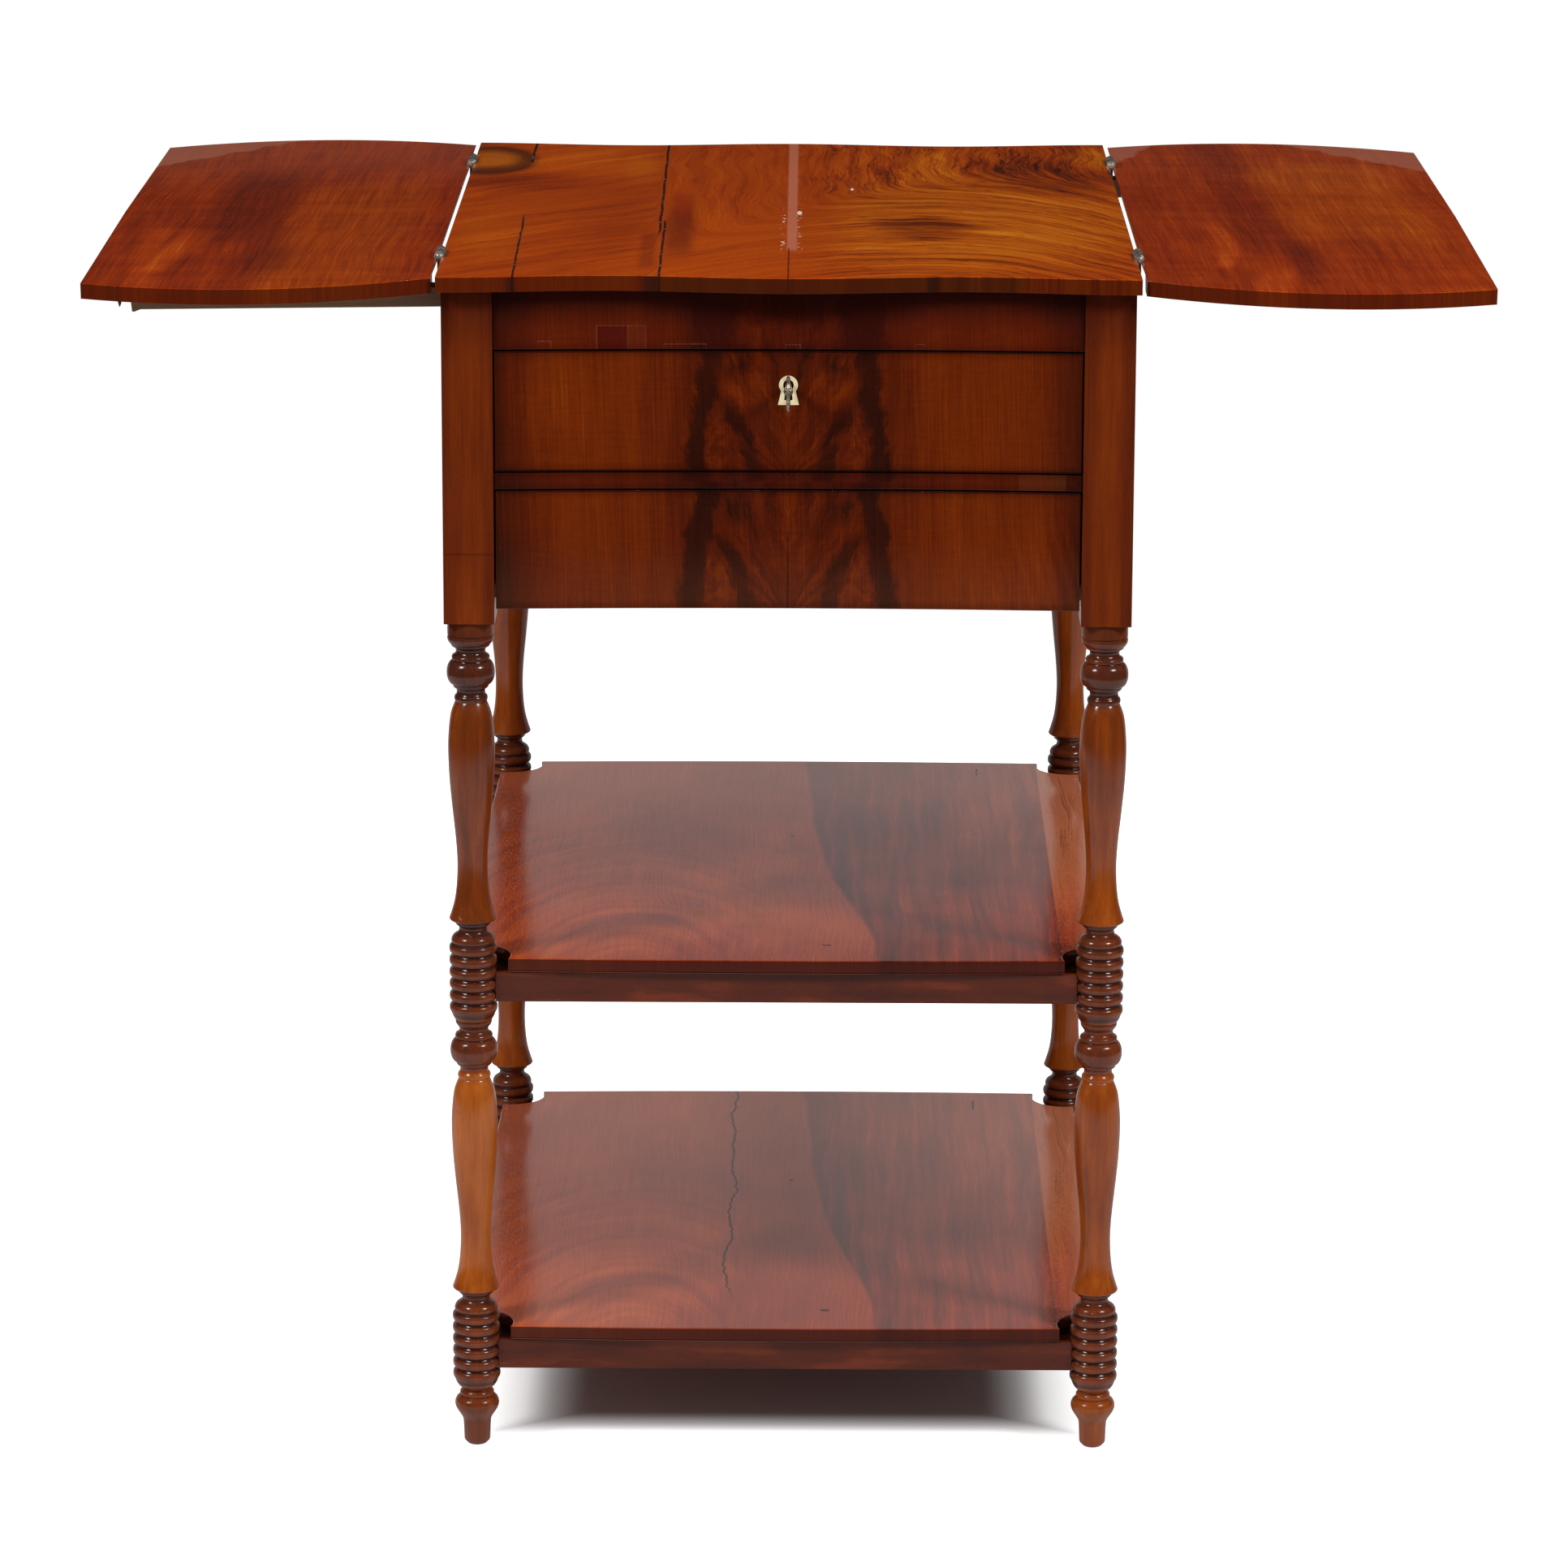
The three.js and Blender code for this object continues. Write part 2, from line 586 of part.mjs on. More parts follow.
function frieze() {
  const boltSpace = block(
    grown([-BOLT_WIDTH / 2, BOLT_WIDTH / 2]),
    grown([lockCavityFrontY + FIT, lockCavityFrontY + FIT + BOLT_THICKNESS]),
    [friezeBottom - 1, friezeBottom + BOLT_TRAVEL],
  );
  const board = slab(frontShape(postInnerX - FIT, frontBackY), friezeBottom, caseTop);
  return cut(join(board, ...bothEnds(tenonsInto('front').caseTenons.frieze)), boltSpace);
}

function drawerRail() {
  const plan = frontShape(postInnerX - FIT, frontY + DRAWER_RAIL_DEPTH);
  const board = slab(plan, drawerRailBottom, drawerRailTop);
  return join(board, ...bothEnds(tenonsInto('front').caseTenons.drawerRail));
}

// The right apron. Its loper comes through a notch at the back; the left apron is this one turned half round.
function apron() {
  const [across, along, heights] = tenonsInto('back').caseTenons.apron;
  const board = block([apronInnerX, apronOuterX], around(0, postInnerY - FIT), [caseBottom, caseTop]);
  const notch = block(
    [apronInnerX - 1, apronOuterX + 1],
    [loperInnerY - LOPER_PLAY, postInnerY + 1],
    [bearerTop, caseTop + 1],
  );
  return cut(join(board, block(across, along, heights), block(across, mirrored(along), heights)), notch);
}

function backPanel() {
  const board = block(around(0, postInnerX - FIT), [backInnerY, backOuterY], [caseBottom, caseTop]);
  return join(board, ...bothEnds(tenonsInto('back').caseTenons.backPanel));
}

// A runner with its guide and its stop block, on the right side. The guide stands between the posts;
// the runner itself passes inside them to the back panel.
function runner(top, bottom, startY) {
  const inner = drawerHalfX - RUNNER_WIDTH;
  const outer = apronInnerX - FIT;
  const besidePost = postInnerX - FIT;
  const endY = backInnerY - FIT;
  const guideEndY = postInnerY - FIT;
  return join(
    block([inner, besidePost], [startY, endY], [bottom, top]),
    block([inner, outer], [startY, guideEndY], [bottom, top]),
    block([drawerHalfX + GUIDE_PLAY, outer], [startY, guideEndY], [bottom, top + GUIDE_HEIGHT]),
    block([inner, besidePost], [drawerEndY + FIT, endY], [bottom, top + GUIDE_HEIGHT]),
  );
}

// ---------------------------------------------------------------- lopers

// The right loper, pulled out; its free end is at +X and it lies near the back. The part that stands out
// is planed hollow underneath, but for a lip at the end.
function loper() {
  const outline = new THREE.Shape();
  outline.moveTo(loperTip - LOPER_LENGTH, loperTop);
  outline.lineTo(loperTip - LOPER_LENGTH, loperBottom);
  outline.lineTo(postOuterX - FIT, loperBottom);
  outline.lineTo(postOuterX - FIT, loperBottom + HOLLOW_AT_POST);
  outline.lineTo(loperTip - LIP_SLOPE - 2 * LIP_LENGTH, loperBottom + HOLLOW_AT_LIP);
  outline.lineTo(loperTip - LIP_SLOPE - LIP_LENGTH / 2, loperBottom);
  outline.lineTo(loperTip - LIP_SLOPE, loperBottom);
  outline.lineTo(loperTip, loperTop);
  return cut(plate(outline, loperInnerY, loperOuterY), peg(FIT));
}

// The peg that stops against the post when the loper is fully out.
function peg(play = 0) {
  const x = postInnerX - FIT - PEG_RADIUS;
  const z = (loperTop + loperBottom) / 2;
  return barAlongY(PEG_RADIUS + play, loperOuterY - PEG_DEPTH - play, loperOuterY + PEG_REACH, x, z);
}

// A ledge across the case for one loper, with a fence beside it; it also keeps the upper drawer from tipping.
function bearer() {
  const outer = apronInnerX - FIT;
  const fenceOuter = loperInnerY - LOPER_PLAY;
  const fenceInner = fenceOuter - BEARER_FENCE_WIDTH;
  return join(
    block([-outer, outer], [fenceInner, postInnerY - FIT], [friezeBottom, bearerTop]),
    block([-outer, outer], [fenceInner, fenceOuter], [friezeBottom, bearerTop + BEARER_FENCE_HEIGHT]),
  );
}

// ---------------------------------------------------------------- drawers

const drawers = {
  upper: {
    top: upperDrawerTop,
    bottom: upperDrawerBottom,
    sideBottom: drawerRailTop + FIT,
    runnerBottom: drawerRailBottom,
    runnerStart: frontY + DRAWER_RAIL_DEPTH + FIT,
  },
  lower: {
    top: lowerDrawerTop,
    bottom: lowerDrawerBottom,
    sideBottom: lowerDrawerBottom + DRAWER_LIP,
    runnerBottom: lowerDrawerBottom + DRAWER_LIP - FIT - RUNNER_THICKNESS,
    runnerStart: -(postInnerY - FIT),
  },
};

function drawerBottomLimits(drawer) {
  const z = drawer.sideBottom + DRAWER_BOTTOM_RISE;
  return [
    around(0, drawerInnerX + GROOVE_DEPTH - FIT),
    [frontBackY - GROOVE_DEPTH + FIT, drawerEndY - DRAWER_SIDE_THICKNESS - FIT],
    [z, z + DRAWER_BOTTOM_THICKNESS],
  ];
}

function groove(drawer) {
  const [x, y, z] = drawerBottomLimits(drawer);
  return block(grown(x), grown(y), grown(z));
}

function drawerFront(drawer) {
  return cut(slab(frontShape(drawerHalfX, frontBackY), drawer.bottom, drawer.top), groove(drawer));
}

function drawerSide(drawer) {
  const board = block(
    [drawerInnerX, drawerHalfX],
    [frontBackY + FIT, drawerEndY],
    [drawer.sideBottom, drawer.top - DRAWER_SIDE_DROP],
  );
  return cut(board, groove(drawer));
}

function drawerBack(drawer) {
  return block(
    around(0, drawerInnerX - FIT),
    [drawerEndY - DRAWER_SIDE_THICKNESS, drawerEndY],
    [drawer.sideBottom, drawer.top - DRAWER_SIDE_DROP],
  );
}

// ---------------------------------------------------------------- lock, key and escutcheon

// A keyhole's outline: a circle over a foot that widens downwards, about (0, keyZ) in X and Z.
// The extruded outline is turned upright by a quarter turn that takes +Y to +Z.
function keyholeShape(radius, throat, foot, drop) {
  const start = Math.acos(throat / radius);
  const shape = new THREE.Shape();
  shape.moveTo(-foot, keyZ - drop);
  shape.lineTo(foot, keyZ - drop);
  shape.absarc(0, keyZ, radius, -start, Math.PI + start, false);
  return shape;
}

function keyholeSpace(y0, y1) {
  return plate(keyholeShape(KEYHOLE_RADIUS, KEYHOLE_THROAT / 2, KEYHOLE_FOOT / 2, KEYHOLE_DROP), y0, y1);
}

function escutcheonPlate(grow = 0) {
  const shape = keyholeShape(
    ESCUTCHEON_RADIUS + grow,
    ESCUTCHEON_THROAT / 2 + grow,
    ESCUTCHEON_FOOT / 2 + grow,
    ESCUTCHEON_DROP + grow,
  );
  const face = keyFaceY - ESCUTCHEON_RISE;
  return plate(shape, face - grow, face + ESCUTCHEON_THICKNESS + grow);
}

function escutcheon() {
  return cut(escutcheonPlate(), keyholeSpace(keyFaceY - 5, keyFaceY + 5));
}

function upperFront() {
  const lockPocket = block(
    grown(around(0, LOCK_WIDTH / 2)),
    [lockFrontY - FIT, lockBackY + 1],
    [lockBottom - FIT, upperDrawerTop + 1],
  );
  return cut(
    drawerFront(drawers.upper),
    lockPocket,
    escutcheonPlate(FIT),
    keyholeSpace(keyFaceY - 5, lockFrontY + 1),
  );
}

function boltLimits() {
  return {
    y: [lockCavityFrontY + FIT, lockCavityFrontY + FIT + BOLT_THICKNESS],
    top: lockTop,
    bottom: keyZ + KEY_BIT_REACH + 2 * FIT,
  };
}

function lockCase() {
  const inside = LOCK_WIDTH / 2 - LOCK_WALL;
  const bolt = boltLimits();
  const heights = [lockBottom, lockTop];
  return cut(
    block(around(0, LOCK_WIDTH / 2), [lockFrontY, lockBackY], heights),
    block(around(0, inside), [lockCavityFrontY, lockCavityBackY], shortened(heights, LOCK_WALL)),
    block(grown(around(0, BOLT_WIDTH / 2)), grown(bolt.y), [bolt.bottom, lockTop + 1]),
    keyholeSpace(lockFrontY - 1, lockCavityFrontY + 1),
  );
}

function lockBolt() {
  const bolt = boltLimits();
  return join(
    block(around(0, BOLT_WIDTH / 2), bolt.y, [bolt.bottom, bolt.top]),
    block(around(0, BOLT_TAIL_WIDTH / 2), bolt.y, [bolt.bottom, bolt.bottom + BOLT_TAIL_HEIGHT]),
  );
}

// The key stands in the lock with its bow and its bit upright.
function key() {
  const tipY = lockCavityBackY - FIT;
  const bowY = keyFaceY - KEY_REACH;
  const bow = new THREE.Shape();
  bow.absellipse(0, 0, BOW_WIDTH / 2, BOW_HEIGHT / 2, 0, 2 * Math.PI, false, 0);
  const eye = new THREE.Path();
  eye.absellipse(0, 0, BOW_WIDTH / 2 - BOW_RIM, BOW_HEIGHT / 2 - BOW_RIM, 0, 2 * Math.PI, false, 0);
  bow.holes.push(eye);
  const ring = new THREE.ExtrudeGeometry(bow, {
    depth: BOW_THICKNESS,
    bevelEnabled: false,
    curveSegments: EDGE_STEPS / 2,
  });
  ring.translate(0, 0, -BOW_THICKNESS / 2);
  ring.rotateX(Math.PI / 2).rotateZ(Math.PI / 2);
  const shankStart = bowY + BOW_WIDTH / 2 - BOW_RIM / 2;
  const bitBack = tipY - FIT;
  return join(
    solid(ring.translate(0, bowY, keyZ)),
    barAlongY(SHANK_RADIUS, shankStart, tipY, 0, keyZ),
    barAlongY(KEY_COLLAR_RADIUS, shankStart + KEY_COLLAR_LENGTH, shankStart + 2 * KEY_COLLAR_LENGTH, 0, keyZ),
    block(around(0, KEY_BIT_THICKNESS / 2), [bitBack - KEY_BIT_WIDTH, bitBack], [keyZ - KEY_BIT_REACH, keyZ]),
  );
}

// ---------------------------------------------------------------- shelves

// Plan of a shelf: gently bowed edges, and a quarter round cut out round each leg.
function shelf(top) {
  const halfX = legX + SHELF_OVERHANG_X;
  const halfY = legY + SHELF_OVERHANG_Y;
  const shape = new THREE.Shape();
  shape.moveTo(-halfX, -halfY);
  shape.quadraticCurveTo(0, -halfY - 2 * SHELF_SWELL, halfX, -halfY);
  shape.quadraticCurveTo(halfX + 2 * SHELF_SIDE_SWELL, 0, halfX, halfY);
  shape.quadraticCurveTo(0, halfY + 2 * SHELF_SWELL, -halfX, halfY);
  shape.quadraticCurveTo(-halfX - 2 * SHELF_SIDE_SWELL, 0, -halfX, -halfY);
  const bottom = top - SHELF_THICKNESS;
  const notches = [];
  for (const x of [-legX, legX]) {
    for (const y of [-legY, legY]) {
      notches.push(barAlongZ(SHELF_NOTCH_RADIUS, bottom - 1, top + 1, x, y, EDGE_STEPS));
    }
  }
  return cut(slab(shape, bottom, top, EDGE_STEPS / 2), ...notches);
}

// Rails between two legs, their ends hollowed to the rings and tenoned into the leg.
function shelfRail(top, alongX) {
  const heights = railSpan(top);
  const half = SHELF_RAIL_THICKNESS / 2;
  const reach = alongX ? legX : legY;
  const spanAlong = around(0, reach);
  const spanAcross = around(0, half);
  const place = (along, across, z) => (alongX ? block(along, across, z) : block(across, along, z));
  const scribe = (end) => barAlongZ(
    RING_RADIUS + FIT,
    heights[0] - 1,
    heights[1] + 1,
    alongX ? end : 0,
    alongX ? 0 : end,
    2 * TURNING_FACETS,
  );
  const tenonEnd = reach - RING_RADIUS + SHELF_RAIL_TENON;
  return join(
    cut(place(spanAlong, spanAcross, heights), scribe(-reach), scribe(reach)),
    place(around(0, tenonEnd), around(0, tenonHalf), shortened(heights, RAIL_TENON_SHOULDER)),
  );
}

// ---------------------------------------------------------------- the table

const table = new THREE.Group();

pieceOf(table, 'top_panel', fixedTop(), 'top');

for (const [sideName, sign] of [['left', -1], ['right', 1]]) {
  // Everything on the left side of the top is the right side's piece turned half round.
  const half = new THREE.Group();
  half.rotation.z = sign > 0 ? 0 : Math.PI;
  table.add(half);

  const leaf = new THREE.Group();
  leaf.position.set(hingeX, 0, hingeZ);
  leaf.rotation.y = droop;
  half.add(leaf);
  pieceOf(leaf, `leaf_${sideName}`, leafBoard(), 'leaf');

  for (const y of [-hingeY, hingeY]) {
    const end = y * sign < 0 ? 'front' : 'back';
    const onLeaf = pieceOf(leaf, `hinge_${sideName}_${end}_leaf_plate`, hingeHalf(false), 'iron');
    onLeaf.position.y = y;
    const fixed = new THREE.Group();
    fixed.position.set(hingeX, y, hingeZ);
    half.add(fixed);
    pieceOf(fixed, `hinge_${sideName}_${end}_top_plate`, hingeHalf(true), 'iron');
    pieceOf(fixed, `hinge_${sideName}_${end}_pin`, hingePin(), 'iron');
  }

  pieceOf(half, `side_apron_${sideName}`, apron(), 'front');
  pieceOf(half, `loper_${sideName}`, loper(), 'loper');
  pieceOf(half, `loper_${sideName}_stop_peg`, peg(), 'inside');
  pieceOf(half, sign > 0 ? 'loper_bearer_back' : 'loper_bearer_front', bearer(), 'inside');
}

for (const end of ['front', 'back']) {
  pieceOf(table, `leg_${end}_left`, leg(end, -1), 'leg');
  pieceOf(table, `leg_${end}_right`, leg(end, 1), 'leg');
}

pieceOf(table, 'frieze', frieze(), 'front');
pieceOf(table, 'drawer_rail', drawerRail(), 'front');
pieceOf(table, 'back_panel', backPanel(), 'front');

for (const [name, drawer] of Object.entries(drawers)) {
  const runnerTop = drawer.sideBottom - FIT;
  const right = runner(runnerTop, drawer.runnerBottom, drawer.runnerStart);
  pieceOf(table, `${name}_runner_right`, right, 'inside');
  pieceOf(table, `${name}_runner_left`, right.mirror([1, 0, 0]), 'inside');

  pieceOf(table, `${name}_drawer_front`, name === 'upper' ? upperFront() : drawerFront(drawer), 'front');
  pieceOf(table, `${name}_drawer_side_right`, drawerSide(drawer), 'inside');
  pieceOf(table, `${name}_drawer_side_left`, drawerSide(drawer).mirror([1, 0, 0]), 'inside');
  pieceOf(table, `${name}_drawer_back`, drawerBack(drawer), 'inside');
  pieceOf(table, `${name}_drawer_bottom`, block(...drawerBottomLimits(drawer)), 'inside');
}

const floorOfDrawer = drawerBottomLimits(drawers.upper)[2][1] + FIT;
const dividerY = frontBackY + DIVIDER_FROM_FRONT;
const dividerHeights = [floorOfDrawer, floorOfDrawer + DIVIDER_HEIGHT];
const crossDivider = block(
  around(0, drawerInnerX - FIT),
  [dividerY, dividerY + DIVIDER_THICKNESS],
  dividerHeights,
);
const longDivider = block(
  around(0, DIVIDER_THICKNESS / 2),
  [dividerY + DIVIDER_THICKNESS + FIT, drawerEndY - DRAWER_SIDE_THICKNESS - FIT],
  dividerHeights,
);
pieceOf(table, 'upper_drawer_divider_cross', crossDivider, 'inside');
pieceOf(table, 'upper_drawer_divider_long', longDivider, 'inside');

pieceOf(table, 'escutcheon', escutcheon(), 'bone');
pieceOf(table, 'lock_case', lockCase(), 'brass');
pieceOf(table, 'lock_bolt', lockBolt(), 'brass');
pieceOf(table, 'key', key(), 'iron');

for (const [name, height] of [['upper', UPPER_SHELF_HEIGHT], ['lower', LOWER_SHELF_HEIGHT]]) {
  pieceOf(table, `${name}_shelf`, shelf(height), 'shelf');
  const alongX = shelfRail(railTop[name], true);
  const alongY = shelfRail(railTop[name], false);
  pieceOf(table, `${name}_shelf_rail_front`, alongX.translate([0, -legY, 0]), 'rail');
  pieceOf(table, `${name}_shelf_rail_back`, alongX.translate([0, legY, 0]), 'rail');
  pieceOf(table, `${name}_shelf_rail_left`, alongY.translate([-legX, 0, 0]), 'rail');
  pieceOf(table, `${name}_shelf_rail_right`, alongY.translate([legX, 0, 0]), 'rail');
}

export default table;
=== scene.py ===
# %% [markdown]
# # A sewing table with two drop leaves
# The table is old mahogany, French polished: a thin fixed top with a leaf hinged to each side, two
# drawers under it, four turned legs and two shelves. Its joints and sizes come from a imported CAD
# frame. This lesson gives the frame its looks. Boards are copies of the CAD solids with their
# arrises rounded, turned legs, hinges and key are modelled afresh, and every finish is a network of
# nodes.

import json
import math

import bpy
from mathutils import Matrix, Vector


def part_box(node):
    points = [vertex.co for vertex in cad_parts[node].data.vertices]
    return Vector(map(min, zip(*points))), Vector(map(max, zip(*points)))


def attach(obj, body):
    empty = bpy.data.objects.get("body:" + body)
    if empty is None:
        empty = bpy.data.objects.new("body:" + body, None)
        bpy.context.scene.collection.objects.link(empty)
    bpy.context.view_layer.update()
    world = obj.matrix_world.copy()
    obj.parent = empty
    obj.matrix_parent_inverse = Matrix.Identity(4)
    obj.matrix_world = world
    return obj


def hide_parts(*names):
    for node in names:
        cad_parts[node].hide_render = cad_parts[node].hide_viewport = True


MM = 0.001  # sizes below are in millimetres, Blender's are in metres

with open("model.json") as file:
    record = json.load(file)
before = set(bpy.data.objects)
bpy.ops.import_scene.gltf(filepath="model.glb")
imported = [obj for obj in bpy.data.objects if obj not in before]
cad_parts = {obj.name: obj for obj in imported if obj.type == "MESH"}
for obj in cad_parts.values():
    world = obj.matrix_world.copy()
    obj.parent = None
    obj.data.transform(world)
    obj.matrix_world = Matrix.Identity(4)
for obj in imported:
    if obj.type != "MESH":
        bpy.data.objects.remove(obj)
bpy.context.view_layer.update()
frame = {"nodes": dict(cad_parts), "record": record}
nodes = frame["nodes"]
bodies = frame["record"]["behaviour"]["bodies"]
body_of = {name: body for body, names in bodies.items() for name in names}

# %% [markdown]
# ## The camera
# A camera for furniture stands well back with a long lens, so that the near edge of the top isn't
# much wider than the far one. It looks down a little, which shows the top and both shelves. The
# lens is shifted down rather than the camera tipped further, so the legs stay nearly upright in the
# picture.

# %% Camera
CAMERA_PLACE = (11.94, -3908.33, 1390.5)
CAMERA_DOWN = 13.49  # degrees below level
CAMERA_YAW = 0.22
CAMERA_ROLL = 0.2
FOCAL_LENGTH = 141.6
SENSOR_WIDTH = 36
LENS_SHIFT = -0.0776  # part of the sensor's width
FARTHEST_SEEN = 100  # metres

bpy.ops.object.camera_add()
camera = bpy.context.object
camera.name = "camera"
camera.data.lens = FOCAL_LENGTH
camera.data.sensor_width = SENSOR_WIDTH
camera.data.shift_y = LENS_SHIFT
camera.data.clip_end = FARTHEST_SEEN
camera.matrix_world = (
    Matrix.Translation(Vector(CAMERA_PLACE) * MM)
    @ Matrix.Rotation(math.radians(CAMERA_YAW), 4, "Z")
    @ Matrix.Rotation(math.radians(90 - CAMERA_DOWN), 4, "X")
    @ Matrix.Rotation(math.radians(CAMERA_ROLL), 4, "Z")
)
bpy.context.scene.camera = camera
bpy.context.scene.view_settings.view_transform = "Standard"
print("camera at", tuple(camera.location))

# %% [markdown]
# ## Small helpers
# An operator works on whatever is selected, so each step begins by selecting one object alone.
# `owned` hands a finished piece to the frame: it moves with the body of the CAD node that it stands
# for.


# %% Helpers
def only(piece):
    """Selects one object and nothing else, and makes it the active one."""
    bpy.ops.object.select_all(action="DESELECT")
    piece.select_set(True)
    bpy.context.view_layer.objects.active = piece


def editing(piece):
    """Opens one object in edit mode with all of it selected."""
    only(piece)
    bpy.ops.object.mode_set(mode="EDIT")
    bpy.ops.mesh.select_all(action="SELECT")


def done_editing():
    bpy.ops.object.mode_set(mode="OBJECT")


def primitive(add, name, **sizes):
    """A new mesh at the origin, from one of Blender's mesh operators."""
    bpy.ops.object.select_all(action="DESELECT")
    add(location=(0, 0, 0), **sizes)
    piece = bpy.context.object
    piece.name = name
    return piece


def reshaped(piece, stretch=None, angle=None, axis="Z", shift=(0, 0, 0)):
    """Stretches a mesh, then turns it about the origin, then moves it."""
    editing(piece)
    if stretch is not None:
        bpy.ops.transform.resize(value=stretch)
    if angle:
        bpy.ops.transform.rotate(value=angle, orient_axis=axis, center_override=(0, 0, 0))
    bpy.ops.transform.translate(value=shift)
    done_editing()
    return piece


def copy_of(source, name):
    """A new object with its own copy of a mesh."""
    piece = bpy.data.objects.new(name, source.data.copy())
    bpy.context.scene.collection.objects.link(piece)
    return piece


def joined(name, first, *others):
    """Several objects made one."""
    only(first)
    for other in others:
        other.select_set(True)
    bpy.ops.object.join()
    first.name = name
    return first


def smooth(piece, angle=40):
    """Shades a piece smooth, but keeps bends sharper than the angle."""
    only(piece)
    bpy.ops.object.shade_smooth_by_angle(angle=math.radians(angle))


ARRIS_ANGLE = 28  # degrees from which a bend counts as an arris
BROAD_FACE = 1500  # square millimetres from which a face is shaded flat


def bevelled(piece, width):
    """Rounds every arris. The bends in shading stay on the rounds."""
    only(piece)
    bevel = piece.modifiers.new("arris", "BEVEL")
    bevel.width = width * MM
    bevel.segments = 2
    bevel.limit_method = "ANGLE"
    bevel.angle_limit = math.radians(ARRIS_ANGLE)
    bpy.ops.object.modifier_apply(modifier="arris")
    smooth(piece)
    for face in piece.data.polygons:
        face.use_smooth = face.area < BROAD_FACE * MM * MM
    weighted = piece.modifiers.new("weighted", "WEIGHTED_NORMAL")
    weighted.weight = 100
    weighted.keep_sharp = True
    bpy.ops.object.modifier_apply(modifier="weighted")
    return piece


def owned(piece, finish, *names):
    """The piece stands for these CAD nodes, rides on their body and takes this finish."""
    piece.data.materials.clear()
    piece.data.materials.append(finish)
    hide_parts(*names)
    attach(piece, body_of[names[0]])
    return piece


# %% [markdown]
# ## Boards
# A board from the CAD model arrives as loose triangles with knife-sharp arrises. A real one has had
# its arrises taken off with fine paper, and that narrow round is what catches the light. So a copy
# of the board is merged, its flat faces are dissolved into one, and a small bevel is applied.


# %% Boards
def merged(name):
    """A copy of a CAD node with its loose triangles joined into whole faces."""
    piece = copy_of(nodes[name], name + "_finished")
    editing(piece)
    bpy.ops.mesh.remove_doubles(threshold=0.01 * MM)
    bpy.ops.mesh.dissolve_limited(angle_limit=math.radians(0.4))
    bpy.ops.mesh.customdata_custom_splitnormals_clear()
    done_editing()
    return piece


def board(name, finish, arris):
    """A CAD board with its arrises taken off."""
    return owned(bevelled(merged(name), arris), finish, name)


# %% [markdown]
# ## Finishes
# Each finish is a node network. To write one as readably as a formula, `Value` lets a number that
# changes from place to place be added, multiplied and compared: each operation adds one Math node.
# `Finish` holds the material, gives the place on the object in millimetres, and lays colours over
# each other like coats of stain. Patterns read Object coordinates, so they stay put when a drawer
# opens.


# %% The tools for finishes
def linear(colour):
    """A colour as 0 to 255 values made into the linear values that a shader takes."""
    parts = [part / 255 for part in colour]
    return (*[p / 12.92 if p <= 0.04045 else ((p + 0.055) / 1.055) ** 2.4 for p in parts], 1.0)


def feed(slot, item):
    """Puts a number or a colour in a socket, or joins it to what a Value stands for."""
    if isinstance(item, Value):
        slot.id_data.links.new(item.socket, slot)
    else:
        slot.default_value = item


class Value:
    """A number that changes from place to place."""

    def __init__(self, socket):
        self.socket = socket

    def math(self, operation, *others):
        node = self.socket.id_data.nodes.new("ShaderNodeMath")
        node.operation = operation
        for slot, item in zip(node.inputs, (self, *others)):
            feed(slot, item)
        return Value(node.outputs[0])

    def __add__(self, other):
        return self.math("ADD", other)

    def __sub__(self, other):
        return self.math("SUBTRACT", other)

    def __mul__(self, other):
        return self.math("MULTIPLY", other)

    def __rsub__(self, other):
        return self.math("MULTIPLY_ADD", -1.0, other)

    def __abs__(self):
        return self.math("ABSOLUTE")

    __radd__ = __add__
    __rmul__ = __mul__

    def most(self, *others):
        """The greatest of several values."""
        greatest = self
        for other in others:
            greatest = greatest.math("MAXIMUM", other)
        return greatest

    def least(self, other):
        return self.math("MINIMUM", other)

    def rise(self, start, end):
        """0 at start and 1 at end, with a smooth step between them. Start may be the larger."""
        node = self.socket.id_data.nodes.new("ShaderNodeMapRange")
        node.interpolation_type = "SMOOTHSTEP"
        feed(node.inputs["Value"], self)
        node.inputs["From Min"].default_value = start
        node.inputs["From Max"].default_value = end
        return Value(node.outputs[0])

    def band(self, middle, half, soft):
        """1 within half a width of the middle, falling to 0 over the soft edge."""
        return abs(self - middle).rise(half + soft, half)


